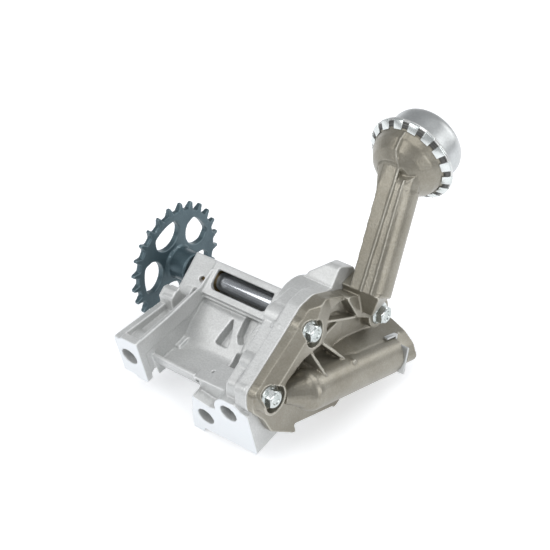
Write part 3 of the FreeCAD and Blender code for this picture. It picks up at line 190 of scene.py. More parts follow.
@dataclass(frozen=True)
class MetalFinish:
    """One procedural metal finish.

    Attributes:
        name: Name of the material.
        tone: Main colour, 0 to 255.
        deep: Colour of stains, and of the painted shade in recesses and creases, 0 to 255.
        edge: Colour of rubbed edges with a painted highlight on them, 0 to 255.
        metallic: Share of metal reflection.
        rough: Mean roughness.
        swing: How far roughness wanders from its mean.
        grain: Kind of fine relief.
        size: Size of the grain in metres.
        relief: Depth of the relief in metres.
        mottle: Size of the colour patches in metres.
        wear_and_painted_light: How strongly the rubbed edges with their painted highlight, and the painted
            shade in recesses, show.
        patch: Zone of another colour, if any.
    """

    name: str
    tone: Colour
    deep: Colour
    edge: Colour
    metallic: float
    rough: float
    swing: float
    grain: Grain
    size: float
    relief: float
    mottle: float
    wear_and_painted_light: float = 1.0
    patch: Patch | None = None

    def build(self) -> Material:
        """Make the material.

        Returns:
            The finished material.
        """
        material = bpy.data.materials.new(self.name)
        board = NodeBoard(material)
        place = board.add("TexCoord", {}).outputs["Object"]
        patches = board.noise(place, 1 / self.mottle, 5.0, 0.6)
        speckle = board.noise(place, 1 / self.size, 2.0, 0.5)
        colour = self._colour(board, patches, speckle)
        if self.patch:
            colour = board.mix(self._zone(board, place), colour, linear(self.patch.colour))
        low, high = self.rough - self.swing, self.rough + self.swing
        rough = board.add("MapRange", {"To Min": low, "To Max": high, "Value": patches})
        height = self._height(board, place, speckle)
        bump = board.add("Bump", {"Strength": 0.6, "Distance": self.relief, "Height": height})
        shader = board.add("BsdfPrincipled", {
            "Metallic": self.metallic,
            "Base Color": colour,
            "Roughness": rough.outputs["Result"],
            "Normal": bump.outputs["Normal"],
        })
        board.add("OutputMaterial", {"Surface": shader.outputs["BSDF"]})
        return material

    def _colour(self, board: NodeBoard, patches: NodeSocket, speckle: NodeSocket) -> NodeSocket:
        """Blend the main, deep and edge colours: painted shade in recesses, rubbed edges with a painted
        highlight.

        Args:
            board: Node tree to add to.
            patches: Field of large patches.
            speckle: Field of fine grain.

        Returns:
            The blended colour.
        """
        deep = linear(self.deep)
        base = board.mix(board.ramp(patches, 0.42, 0.72, 0.55), linear(self.tone), deep)
        base = board.mix(board.ramp(speckle, 0.35, 0.65, 0.28), base, deep)
        bend = board.add("NewGeometry", {}).outputs["Pointiness"]
        # Rubbed edges with a painted highlight: sharp convex edges, found by pointiness, turn to the edge
        # colour.
        base = board.mix(board.ramp(bend, 0.51, 0.56, self.wear_and_painted_light), base, linear(self.edge))
        # Painted shade: recesses and creases, found by pointiness, turn to the deep colour.
        return board.mix(board.ramp(bend, 0.49, 0.44, 0.6 * self.wear_and_painted_light), base, deep)

    def _zone(self, board: NodeBoard, place: NodeSocket) -> NodeSocket:
        """Share that is one inside the patch and zero outside it.

        Args:
            board: Node tree to add to.
            place: Coordinates to read.

        Returns:
            The share.
        """
        patch = self.patch
        height = board.add("SeparateXYZ", {0: place}).outputs["Y"]
        flat = board.add("VectorMath", {0: place, 1: (1, 0, 1)}, operation="MULTIPLY")
        reach = board.add("VectorMath", {0: flat.outputs["Vector"], 1: patch.centre}, operation="DISTANCE")
        above = board.ramp(height, patch.low, patch.low + patch.soft)
        below = board.ramp(height, patch.high, patch.high - patch.soft)
        outside = board.ramp(reach.outputs["Value"], patch.radius, patch.radius + patch.soft)
        return board.product(board.product(above, below), outside)

    def _height(self, board: NodeBoard, place: NodeSocket, speckle: NodeSocket) -> NodeSocket:
        """Pick the relief of the surface.

        Args:
            board: Node tree to add to.
            place: Coordinates to read.
            speckle: Field of fine grain.

        Returns:
            The height.
        """
        if self.grain is Grain.TURNED:
            inputs = {"Scale": 1 / self.size, "Distortion": 0.6, "Vector": place}
            return board.add("TexWave", inputs, bands_direction="X").outputs["Fac"]
        if self.grain is Grain.PLATED:
            return board.noise(place, 0.3 / self.size, 1.0, 0.5)
        return speckle


class Finishes:
    """All finishes of the pump."""

    def __init__(self) -> None:
        """Build every material once."""
        self.housing = MetalFinish(
            "housing_cast", (218, 219, 218), (176, 177, 175), (241, 242, 241),
            metallic=0.42, rough=0.42, swing=0.06,
            grain=Grain.SAND_CAST, size=0.0011, relief=0.00024, mottle=0.03,
            patch=Patch((240, 243, 245), -0.01, 0.0007),
        ).build()
        self.cover = MetalFinish(
            "cover_cast", (158, 154, 143), (120, 114, 99), (200, 197, 186),
            metallic=0.62, rough=0.33, swing=0.06,
            grain=Grain.SAND_CAST, size=0.0011, relief=0.0002, mottle=0.03,
            patch=Patch((92, 92, 90), 0.1638, 0.17, (0.098, 0.0, 0.0655), 0.0242),
        ).build()
        self.sprocket = MetalFinish(
            "sprocket_black", (86, 105, 112), (58, 76, 84), (132, 148, 154),
            metallic=0.5, rough=0.34, swing=0.06,
            grain=Grain.PRESSED, size=0.0006, relief=0.00005, mottle=0.02, wear_and_painted_light=0.7,
        ).build()
        self.ground = MetalFinish(
            "ground_steel", (196, 200, 204), (150, 152, 156), (225, 225, 228),
            metallic=0.95, rough=0.14, swing=0.02,
            grain=Grain.PRESSED, size=0.004, relief=0.000002, mottle=0.03, wear_and_painted_light=0.4,
        ).build()
        self.pressed = MetalFinish(
            "pressed_steel", (200, 203, 203), (160, 162, 162), (230, 230, 228),
            metallic=0.8, rough=0.35, swing=0.05,
            grain=Grain.PRESSED, size=0.0012, relief=0.00004, mottle=0.03, wear_and_painted_light=0.8,
        ).build()
        self.zinc = MetalFinish(
            "zinc_plate", (206, 212, 210), (150, 158, 156), (240, 243, 242),
            metallic=0.85, rough=0.26, swing=0.05,
            grain=Grain.PLATED, size=0.0005, relief=0.00004, mottle=0.006, wear_and_painted_light=0.6,
        ).build()
        self.clip = MetalFinish(
            "clip_steel", (176, 177, 176), (130, 132, 132), (214, 216, 215),
            metallic=0.8, rough=0.32, swing=0.05,
            grain=Grain.PLATED, size=0.0005, relief=0.00004, mottle=0.006, wear_and_painted_light=0.6,
        ).build()
        self.bronze = MetalFinish(
            "bearing_bronze", (150, 124, 84), (104, 84, 58), (190, 165, 120),
            metallic=0.9, rough=0.34, swing=0.05,
            grain=Grain.TURNED, size=0.0006, relief=0.00001, mottle=0.01, wear_and_painted_light=0.4,
        ).build()

    def by_slot(self) -> dict[str, Material]:
        """Sort the materials by the record's slots.

        Returns:
            Material of each slot.
        """
        return {
            "cast_housing": self.housing,
            "cast_cover": self.cover,
            "sprocket_steel": self.sprocket,
            "ground_steel": self.ground,
            "pressed_steel": self.pressed,
            "zinc_steel": self.zinc,
            "bearing_bronze": self.bronze,
        }


def dress(obj: Object, material: Material) -> None:
    """Give an object one material."""
    obj.data.materials.clear()
    obj.data.materials.append(material)


@dataclass
class Stand:
    """What a visible piece stands for in the frame.

    Attributes:
        node: CAD node that it stands for.
        name: Name of the piece.
        body: Body that it rides on.
        slot: Material slot of the record; not used.
    """

    node: str
    name: str
    body: str
    slot: str

    def present(self, piece: Object, finish: Material) -> None:
        """Dress a finished mesh, set it in its node's place and report it.

        Args:
            piece: Finished mesh.
            finish: Its material.
        """
        piece.name = self.name
        dress(piece, finish)
        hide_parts(self.node)
        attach(piece, self.body)
        LOG.info("%s: %d faces", self.name, len(piece.data.polygons))


@dataclass
class Studio:
    """Floor, lamps and camera at the photograph's angle.

    Attributes:
        eye: Camera's place in metres.
        right: Direction towards the picture's right side.
        down: Direction towards its lower edge.
        forward: Direction of sight.
        lens: Focal length in millimetres.
        sensor: Width of the sensor in millimetres.
        floor_normal: Direction that the floor faces.
        floor_point: A point on the floor.
        glow: How bright the floor looks by itself.
        surround: Strength of the soft surround.
        aim: Point that the lamps face.
        lamps: Place, size in metres and power in watts of each soft box, by name.
    """

    eye: Point = (0.53037, -0.35820, 0.63392)
    right: Point = (0.77485, 0.60977, -0.16667)
    down: Point = (0.33594, -0.62056, -0.70855)
    forward: Point = (-0.53549, 0.49303, -0.68569)
    lens: float = 98.18
    sensor: float = 36.0
    floor_normal: Point = (0.166, 0.097, 0.98)
    floor_point: Point = (0.106, 0.119, -0.0625)
    glow: float = 0.42
    surround: float = 0.4
    aim: Point = (0.05, 0.08, 0.0)
    lamps: dict[str, tuple[Point, float, float]] = field(default_factory=lambda: {
        "key_softbox": ((-0.25, -0.55, 0.9), 0.7, 4.3),
        "top_softbox": ((0.3, 0.35, 1.1), 0.8, 4.0),
        "fill_softbox": ((0.95, -0.1, 0.35), 0.6, 2.2),
        "rim_softbox": ((0.62, 1.05, 0.3), 0.6, 2.6),
    })

    def build(self) -> None:
        """Set the whole stage."""
        self._camera()
        self._floor()
        self._world()
        self._lamps()

    def _camera(self) -> None:
        """Place the camera."""
        data = bpy.data.cameras.new("camera")
        data.sensor_width = self.sensor
        data.lens = self.lens
        data.clip_start = 0.05
        data.clip_end = 20
        camera = bpy.data.objects.new("camera", data)
        bpy.context.scene.collection.objects.link(camera)
        turn = Matrix((self.right, [-v for v in self.down], [-v for v in self.forward])).transposed()
        camera.matrix_world = Matrix.Translation(self.eye) @ turn.to_4x4()
        bpy.context.scene.camera = camera

    def _floor(self) -> None:
        """Lay the pale floor that the pump rests on."""
        bpy.ops.object.select_all(action="DESELECT")
        bpy.ops.mesh.primitive_plane_add(size=6.0)
        floor = Bench.named("studio_floor")
        turn = Vector((0, 0, 1)).rotation_difference(Vector(self.floor_normal))
        floor.matrix_world = Matrix.Translation(self.floor_point) @ turn.to_matrix().to_4x4()
        material = bpy.data.materials.new("studio_white")
        board = NodeBoard(material)
        path = board.add("LightPath", {})
        seen = path.outputs["Is Camera Ray"]
        for name in ("Is Glossy Ray", "Is Transmission Ray"):
            seen = board.either(seen, path.outputs[name])
        pale = board.add("BsdfDiffuse", {"Color": (0.86, 0.87, 0.89, 1)})
        dark = board.add("Emission", {"Strength": 0.0})
        light = board.add("Emission", {"Strength": self.glow})
        shown = board.add("MixShader", {"Fac": seen, 1: dark.outputs[0], 2: light.outputs[0]})
        both = board.add("AddShader", {0: pale.outputs[0], 1: shown.outputs[0]})
        board.add("OutputMaterial", {"Surface": both.outputs[0]})
        dress(floor, material)

    def _world(self) -> None:
        """Light the pump with a soft surround that the camera sees as white."""
        world = bpy.data.worlds.new("studio_world")
        board = NodeBoard(world)
        soft = board.add("Background", {"Color": (0.95, 0.97, 1.0, 1), "Strength": self.surround})
        bright = board.add("Background", {"Color": (1, 1, 1, 1), "Strength": 1.0})
        seen = board.add("LightPath", {}).outputs["Is Camera Ray"]
        mix = board.add("MixShader", {"Fac": seen, 1: soft.outputs[0], 2: bright.outputs[0]})
        board.add("OutputWorld", {"Surface": mix.outputs[0]})
        bpy.context.scene.world = world

    def _lamps(self) -> None:
        """Hang the soft boxes round the pump."""
        for name, (place, size, power) in self.lamps.items():
            data = bpy.data.lights.new(name, "AREA")
            data.shape = "SQUARE"
            data.size = size
            data.energy = power
            lamp = bpy.data.objects.new(name, data)
            bpy.context.scene.collection.objects.link(lamp)
            turn = (Vector(self.aim) - Vector(place)).to_track_quat("-Z", "Y")
            lamp.matrix_world = Matrix.Translation(place) @ turn.to_matrix().to_4x4()


class Bench:
    """Modelling steps as by hand, on one object at a time.

    Attributes:
        drum_sides: Number of sides of a round bar.
        seam: Distance in metres within which loose triangles share a corner.
        weld: Distance in metres within which a turned skin's ends meet.
    """

    drum_sides = 20
    seam = 0.000002
    weld = 0.00001

    @staticmethod
    def take(obj: Object) -> None:
        """Select one object alone and make it active.

        Args:
            obj: The object.
        """
        bpy.ops.object.select_all(action="DESELECT")
        obj.select_set(True)
        bpy.context.view_layer.objects.active = obj

    @staticmethod
    def named(name: str) -> Object:
        """Name the object that the last operator made.

        Args:
            name: Name of the piece.

        Returns:
            The object.
        """
        obj = bpy.context.object
        obj.name = name
        obj.data.name = name
        return obj

    @classmethod
    def copy_of(cls, node: Object, name: str) -> Object:
        """Copy a node's mesh into a piece of its own and merge its loose triangles.

        Args:
            node: CAD node.
            name: Name of the new piece.

        Returns:
            The merged copy.
        """
        piece = bpy.data.objects.new(name, node.data.copy())
        bpy.context.scene.collection.objects.link(piece)
        piece.data.materials.clear()
        cls.open_all(piece)
        bpy.ops.mesh.remove_doubles(threshold=cls.seam)
        cls.close()
        return piece

    @classmethod
    def duplicate(cls, source: Object, name: str, place: Matrix) -> Object:
        """Copy a finished piece to a new place, with a mesh of its own.

        Args:
            source: Piece to copy.
            name: Name of the copy.
            place: Where the copy goes.

        Returns:
            The copy, with its place in its mesh.
        """
        piece = source.copy()
        piece.data = source.data.copy()
        piece.name = name
        piece.data.name = name
        bpy.context.scene.collection.objects.link(piece)
        return cls.settle(piece, place)

    @classmethod
    def settle(cls, obj: Object, place: Matrix | None = None) -> Object:
        """Put an object's place into its mesh.

        Args:
            obj: Object to settle.
            place: Where it goes first, if it isn't there yet.

        Returns:
            The object, at the origin.
        """
        if place is not None:
            obj.matrix_world = place
        cls.take(obj)
        bpy.ops.object.transform_apply(location=True, rotation=True, scale=True)
        return obj

    @classmethod
    def finish_with(cls, obj: Object, kind: str, **settings: object) -> None:
        """Add one modifier and apply it.

        Args:
            obj: Object to change.
            kind: Modifier type.
            settings: Values of the modifier.
        """
        cls.take(obj)
        modifier = obj.modifiers.new(kind.lower(), kind)
        for key, value in settings.items():
            setattr(modifier, key, value)
        bpy.ops.object.modifier_apply(modifier=modifier.name)

    @classmethod
    def combine(cls, obj: Object, other: Object, operation: str) -> None:
        """Unite, cut or intersect an object with another, which is used up."""
        cls.finish_with(obj, "BOOLEAN", object=other, operation=operation, solver="EXACT")
        bpy.data.objects.remove(other, do_unlink=True)

    @classmethod
    def join(cls, pieces: list[Object]) -> Object:
        """Join pieces into the first one.

        Args:
            pieces: Pieces to join.

        Returns:
            The first piece.
        """
        cls.take(pieces[0])
        for piece in pieces[1:]:
            piece.select_set(True)
        bpy.ops.object.join()
        return pieces[0]

    @classmethod
    def bevel(cls, obj: Object, width: float, segments: int = 2, degrees: float = 30.0) -> None:
        """Break the edges that are sharper than an angle, by a width in millimetres."""
        limit = {"limit_method": "ANGLE", "angle_limit": math.radians(degrees)}
        cls.finish_with(obj, "BEVEL", width=width * MM, segments=segments, **limit)

    @classmethod
    def open_all(cls, obj: Object) -> None:
        """Enter edit mode with the whole mesh selected.

        Args:
            obj: Object to edit.
        """
        cls.take(obj)
        bpy.ops.object.mode_set(mode="EDIT")
        bpy.ops.mesh.select_all(action="SELECT")

    @classmethod
    def open_faces(cls, obj: Object, wanted: Callable[[MeshPolygon], bool]) -> None:
        """Enter edit mode with the wanted faces selected and nothing else.

        Args:
            obj: Object to edit.
            wanted: Test that picks a face.
        """
        cls.take(obj)
        for items in (obj.data.vertices, obj.data.edges):
            for item in items:
                item.select = False
        for face in obj.data.polygons:
            face.select = wanted(face)
        bpy.ops.object.mode_set(mode="EDIT")
        bpy.ops.mesh.select_mode(type="FACE")

    @staticmethod
    def close() -> None:
        """Leave edit mode, with vertices as what the next edit selects."""
        bpy.ops.mesh.select_mode(type="VERT")
        bpy.ops.object.mode_set(mode="OBJECT")

    @classmethod
    def smooth(cls, obj: Object, degrees: float = 35.0) -> None:
        """Shade smoothly, with sharp edges above an angle."""
        cls.take(obj)
        bpy.ops.object.shade_smooth_by_angle(angle=math.radians(degrees))

    @classmethod
    def vertex(cls, name: str) -> Object:
        """Start a mesh with one vertex at the origin, selected in edit mode.

        Args:
            name: Name of the piece.

        Returns:
            The piece.
        """
        bpy.ops.object.select_all(action="DESELECT")
        bpy.ops.mesh.primitive_plane_add(size=MM)
        obj = cls.named(name)
        cls.open_all(obj)
        bpy.ops.mesh.merge(type="CENTER")
        return obj

    @classmethod
    def hull(cls, name: str, corners: list[Point]) -> Object:
        """Make the convex block that some corners span.

        Args:
            name: Name of the block.
            corners: Corners in millimetres.

        Returns:
            The block.
        """
        obj = cls.vertex(name)
        last = Vector(corners[0])
        bpy.ops.transform.translate(value=last * MM)
        for corner in corners[1:]:
            step = (Vector(corner) - last) * MM
            bpy.ops.mesh.extrude_vertices_move(TRANSFORM_OT_translate={"value": step})
            last = Vector(corner)
        bpy.ops.mesh.select_all(action="SELECT")
        bpy.ops.mesh.convex_hull()
        bpy.ops.mesh.select_all(action="SELECT")
        bpy.ops.mesh.normals_make_consistent(inside=False)
        cls.close()
        return obj

    @classmethod
    def prism(cls, name: str, outline: list[Flat], start: float, end: float) -> Object:
        """Make a convex bar along X from a (y, z) outline, in millimetres."""
        return cls.hull(name, [(x, y, z) for x in (start, end) for y, z in outline])

    @classmethod
    def drum(cls, name: str, start: Point, end: Point, radius: float, end_radius: float) -> Object:
        """Make a round or tapered bar between two points.

        Args:
            name: Name of the bar.
            start: Centre of the first end, in millimetres.
            end: Centre of the other end.
            radius: Radius at the first end.
            end_radius: Radius at the other end.

        Returns:
            The bar.
        """
        run = Vector(end) - Vector(start)
        side = run.orthogonal().normalized()
        other = run.cross(side).normalized()
        corners = []
        for centre, size in ((Vector(start), radius), (Vector(end), end_radius)):
            for step in range(cls.drum_sides):
                turn = 2 * math.pi * step / cls.drum_sides
                corners.append(tuple(centre + (side * math.cos(turn) + other * math.sin(turn)) * size))
        return cls.hull(name, corners)

    @classmethod
    def turned(cls, name: str, profile: list[Flat], steps: int) -> Object:
        """Spin a profile about Z.

        Args:
            name: Name of the piece.
            profile: Radius and height of each corner, in millimetres.
            steps: Number of facets round the axis.

        Returns:
            The turned skin, facing outwards.
        """
        obj = cls.vertex(name)
        radius, height = profile[0]
        bpy.ops.transform.translate(value=(radius * MM, 0, height * MM))
        for after_radius, after_height in profile[1:]:
            step = ((after_radius - radius) * MM, 0, (after_height - height) * MM)
            bpy.ops.mesh.extrude_vertices_move(TRANSFORM_OT_translate={"value": step})
            radius, height = after_radius, after_height
        bpy.ops.mesh.select_all(action="SELECT")
        bpy.ops.mesh.spin(steps=steps, angle=2 * math.pi, center=(0, 0, 0), axis=(0, 0, 1))
        bpy.ops.mesh.select_all(action="SELECT")
        bpy.ops.mesh.remove_doubles(threshold=cls.weld)
        bpy.ops.mesh.normals_make_consistent(inside=False)
        cls.close()
        return obj


@dataclass
class Casting(Stand):
    """A sand-cast body: the frame's solid with cast radii, lumps and fillets.

    Attributes:
        voxel: Size of the skin's cells in metres.
        rounds: Number of smoothing passes.
        budget: Most triangles that the skin may have.
        lumps: Blocks that the skin runs over.
        cuts: Blocks that are taken away first.
    """

    voxel: float = 0.00055
    rounds: int = 2
    budget: int = 190000
    lumps: list[Object] = field(default_factory=list)
    cuts: list[Object] = field(default_factory=list)

    def build(self, nodes: dict[str, Object], finish: Material) -> None:
        """Make the casting.

        Args:
            nodes: CAD nodes by name.
            finish: Its material.
        """
        piece = Bench.copy_of(nodes[self.node], self.name)
        for cutter in self.cuts:
            Bench.combine(piece, cutter, "DIFFERENCE")
        if self.lumps:
            piece = Bench.join([piece, *self.lumps])
        Bench.finish_with(piece, "REMESH", mode="VOXEL", voxel_size=self.voxel, adaptivity=0.0)
        Bench.finish_with(piece, "SMOOTH", factor=0.5, iterations=self.rounds)
        triangles = 2 * len(piece.data.polygons)
        if triangles > self.budget:
            Bench.finish_with(piece, "DECIMATE", ratio=self.budget / triangles)
        Bench.take(piece)
        bpy.ops.object.shade_smooth()
        self.present(piece, finish)


@dataclass
class ShaftFrame:
    """Directions round the pump shaft, square to it.

    Attributes:
        y: Height of the shaft along Y, in millimetres.
        z: Height of the shaft along Z.
        flat_tilt: Lean of the tunnel's flat, in degrees from Y.
        crest_tilt: Direction of the tunnel's far crest, in degrees from Y.
    """

    y: float = 75.0
    z: float = 3.5
    flat_tilt: float = 28.0
    crest_tilt: float = 35.7

    def on_flat(self, x: float, across: float, up: float) -> Point:
        """Point by its place across and above the tilted flat of the tunnel."""
        return self._turned(x, across, up, self.flat_tilt)

    def on_crest(self, x: float, along: float, out: float) -> Point:
        """Point by its place along and out from the far crest of the tunnel."""
        return self._turned(x, out, along, self.crest_tilt)

    def _turned(self, x: float, first: float, second: float, degrees: float) -> Point:
        """Point by two offsets from the shaft, turned about it.

        Args:
            x: Place along the shaft, in millimetres.
            first: Offset along the turned Y.
            second: Offset along the turned Z.
            degrees: The turn.

        Returns:
            The point.
        """
        turn = math.radians(degrees)
        return (
            x,
            self.y + first * math.cos(turn) - second * math.sin(turn),
            self.z + first * math.sin(turn) + second * math.cos(turn),
        )


@dataclass
class HousingDetails:
    """Cast details of the housing that its solid leaves plain.

    Attributes:
        shaft: Directions round the shaft.
        lean: Tilt of the body's face, in degrees.
        face: A point on that face, as (y, z) in millimetres.
        port_radius: Radius of the walls that close the port spaces.
    """

    shaft: ShaftFrame = field(default_factory=ShaftFrame)
    lean: float = 30.7
    face: Flat = (57.0, -0.5)
    port_radius: float = 9.2

    def cuts(self) -> list[Object]:
        """Make the blocks that are taken away.

        Returns:
            Tunnel crest, front crown, floor's underside, slots and corners.
        """
        crest = [
            self.shaft.on_crest(x, a, o)
            for x in (-9.5, 66.6)
            for a, o in ((-16, 10.4), (16, 10.4), (-16, 20), (16, 20))
        ]
        crown = [
            self.shaft.on_flat(x, a, u)
            for x, u in ((-9.5, 9.0), (8.4, 9.0), (8.4, 20), (-9.5, 20))
            for a in (-18, 14)
        ]
        lean = math.radians(self.lean)
        pocket = []
        for x, y in ((42.9, 60.2), (53.6, 60.2), (51.4, 48.4), (46.9, 45.8), (43.7, 49.4)):
            z = self.face[1] + (y - self.face[0]) * math.tan(lean)
            for out in (4.0, -6.0):
                pocket.append((x, y - out * math.sin(lean), z + out * math.cos(lean)))
        lip = [(8.0, -5.6), (10.2, -8.6), (12.2, -14.0), (12.2, -26), (8.0, -26)]
        return [
            Bench.hull("crest_cut", crest),
            Bench.hull("crown_cut", crown),
            Bench.prism("lip_cut", lip, 9.9, 44.2),
            Bench.prism("floor_cut", [(12.2, -14.0), (24, -15.6), (24, -26), (12.2, -26)], 9.9, 44.2),
            Bench.hull("foot_cut", [
                (x, y, z) for y in (-1, 25) for x, z in ((43.0, -22), (43.0, -2), (48.6, -2), (44.5, -22))
            ]),
            Bench.hull("pocket_cut", pocket),
            Bench.prism("slot_cut", [(15, -19), (15, 8), (41, 8), (41, -19)], 48.6, 53.4),
            Bench.prism("base_cut", [(15, -10.8), (15, 8), (25, 8), (25, -10.8)], 44.0, 49.0),
            Bench.prism("lobe_cut", LOBE_TRIM, 60.0, 92.0),
            Bench.hull("lug_cut", [
                (89.0, 98.0, 37.9), (53.5, 134.7, -10.1), (76.3, 80.4, 35.1), (39.7, 115.7, -13.1),
                (81.4, 112.1, 53.9), (45.3, 149.9, 7.3), (66.6, 93.7, 52.3), (29.2, 130.0, 5.5),
            ]),
        ]

    def lumps(self) -> list[Object]:
        """Make the blocks that the cast skin runs over.

        Returns:
            Window wall, fillets and bosses.
        """
        port = self.port_radius
        wall = [
            self.shaft.on_flat(x, a, u)
            for x in (12.6, 57.6)
            for a, u in ((4.7, 11.2), (4.7, 8.2), (8.0, 5.4), (9.3, 8.0), (8.9, 11.2))
        ]
        return [
            Bench.hull("window_wall", wall),
            Bench.prism("floor_fillet", [(28, -15), (28, -11.6), (37, -11.4), (37, -15)], 8.0, 12.5),
            Bench.hull("foot_fill", [
                (x, y, z)
                for y in (0.0, 23)
                for x, z in ((44.8, -22), (44.8, -39.8), (41.0, -39.8), (43.6, -22))
            ]),
            Bench.drum("port_wall", (69.9, 52.1, 6.0), (73.2, 52.1, 6.0), port, port),
            Bench.drum("suction_wall", (69.9, 69.9, -18.9), (73.2, 69.9, -18.9), port, port),
            Bench.drum("bolt_boss", (73.5, 24.5, 13.5), (86, 24.5, 13.5), 6.0, 6.8),
            Bench.drum("corner_boss", (81.0, 8.5, 11.0), (89, 8.5, 11.0), 4.4, 5.0),
            Bench.drum("upper_pip", (73.5, 52.0, 26.8), (80, 52.0, 26.8), 2.4, 3.2),
            Bench.hull("lug_slope", [
                (76, 94.8, 26.2), (74, 90, 26.6), (69, 87, 24.4), (76, 94.8, 12), (74, 90, 12), (69, 87, 12),
                (80, 100.4, 27.8), (80, 100.4, 12), (79, 90, 22),
            ]),
            Bench.hull("beam_block", [
                (x, y, z) for x in (-5.5, 1.3) for y, z in ((41.8, 5), (41.8, 12.6), (50.2, 14.4), (50.2, 5))
            ]),
            Bench.drum("lower_pip", (80.0, 46.5, 26.0), (86, 46.5, 26.0), 2.6, 3.4),
        ]


@dataclass
class TubeFrame:
    """Directions of the slanted pickup tube.

    Attributes:
        base: Lower end of its middle line, in millimetres.
        top: Upper end of its middle line.
    """

    base: Point = (108.0, 101.0, 12.0)
    top: Point = (104.0, 147.0, 60.0)

    def point(self, along: float, across: float, front: float) -> Point:
        """Point by its place in the tube's own directions.

        Args:
            along: Distance along the tube from its base, in millimetres.
            across: Distance across it.
            front: Distance out of its flat front.

        Returns:
            The point.
        """
        run = (Vector(self.top) - Vector(self.base)).normalized()
        side = run.cross(Vector((1, 0, 0))).normalized()
        sideways = side.cross(run).normalized()
        return tuple(Vector(self.base) + run * along + sideways * across - side * front)


@dataclass
class CoverDetails:
    """Cast details of the cover that its solid leaves plain.

    Attributes:
        tube: Directions of the pickup tube.
        strainer: Centre of the strainer's rim, in millimetres.
    """

    tube: TubeFrame = field(default_factory=TubeFrame)
    strainer: Point = (98, 167.5, 65.5)

    def cuts(self) -> list[Object]:
        """Make the blocks that are taken away.

        Returns:
            The corner of the plate and the slope under the bell's flange.
        """
        cone = Bench.turned("flange_cut", [(24.3, -3.8), (29.2, -0.6), (29.2, -3.8), (24.3, -3.8)], 96)
        rim = Matrix.Translation(Vector(self.strainer) * MM)
        Bench.settle(cone, rim @ Matrix.Rotation(-math.pi / 2, 4, "X"))
        return [Bench.prism("lobe_cut", LOBE_TRIM, 90.0, 103.0), cone]

    def lumps(self) -> list[Object]:
        """Make the blocks that the cast skin runs over.

        Returns:
            Tube's blend into the bell, ribs, pip and dowel cap.
        """
        tube = self.tube
        round_side = ((-2.5, 8.9), (6.2, 8.9), (9.2, 6.0), (10.9, 0), (9.2, -6.0), (5, -9.7), (-2.5, -10.5))
        shoulder = (
            (62, 9.0, 1.0), (69, 9.0, 1.0), (71.5, 8.0, 1.0), (74, 6.2, 0.99), (76.5, 3.6, 0.97),
            (79, 0.0, 0.93), (81, -4.0, 0.88),
        )
        neck = [
            tube.point(along, wide * a, min(f, top)) for along, top, wide in shoulder for a, f in round_side
        ]
        flat_side = ((-11, 8.9), (-11, 0), (-0.4, 8.9), (-0.4, 0), (-9.5, -5.5), (-4, -10.3))
        blend = [tube.point(62, a, f) for a, f in flat_side]
        blend += [tube.point(77, a, f) for a, f in ((-11, 8.5), (-0.4, 8.9), (-10, 0))]
        blend += [(81.5, 160.5, 77.0), (85.0, 160.5, 80.5), (92.5, 161.0, 85.6), (99.4, 161.5, 87.9)]
        blend.append((92.0, 160.5, 70.0))
        ridges = []
        for name, start, end, top in (("left_ridge", -1.0, -0.4, 78.4), ("right_ridge", 4.6, 4.9, 72.5)):
            ridges.append(Bench.hull(name, [
                tube.point(along, a + wide, f)
                for along, a in ((60, start), (top, end)) for wide in (0, 0.9) for f in (8, 9.6)
            ]))
        crest = [
            (103.4, 148.9, 74.5), (101.1, 150.6, 79.5), (99.4, 153.4, 83.3), (99.5, 158.5, 87.2),
            (99.6, 163.2, 88.7),
        ]
        bell = [Bench.drum("bell_ridge", first, last, 0.95, 0.9) for first, last in zip(crest, crest[1:])]
        return [
            Bench.hull("tube_neck", neck),
            Bench.hull("tube_blend", blend),
            *ridges,
            *bell,
            Bench.drum("barrel_end", (105.6, 38.8, -7.4), (97.0, 26.0, -3.5), 12.2, 6.5),
            self._fin("long_rib", (103.5, 59.2, 10.5), (108.2, 68.8, -9.4), 1.8, 98.0),
            self._fin("short_rib", (104.0, 48.4, 13.0), (113.6, 46.7, 0.2), 1.7, 99.0),
            Bench.drum("pip", (110.0, 71.0, -14.0), (113.6, 72.0, -13.2), 3.0, 2.0),
            Bench.drum("dowel_cap", (95.2, 21.0, -26.0), (96.1, 21.0, -26.0), 5.6, 5.6),
        ]

    def _fin(self, name: str, start: Point, end: Point, thick: float, floor: float) -> Object:
        """Make a thin rib with a sloping crest.

        Args:
            name: Name of the rib.
            start: Crest's first end, in millimetres.
            end: Crest's other end.
            thick: Thickness of the rib.
            floor: X of its foot.

        Returns:
            The rib.
        """
        run = Vector((0, end[1] - start[1], end[2] - start[2])).normalized()
        aside = Vector((0, -run.z, run.y)) * (thick / 2)
        corners = []
        for x, y, z in (start, end, (floor, *end[1:]), (floor, *start[1:])):
            for side in (1, -1):
                corners.append((x, y + side * aside.y, z + side * aside.z))
        return Bench.hull(name, corners)


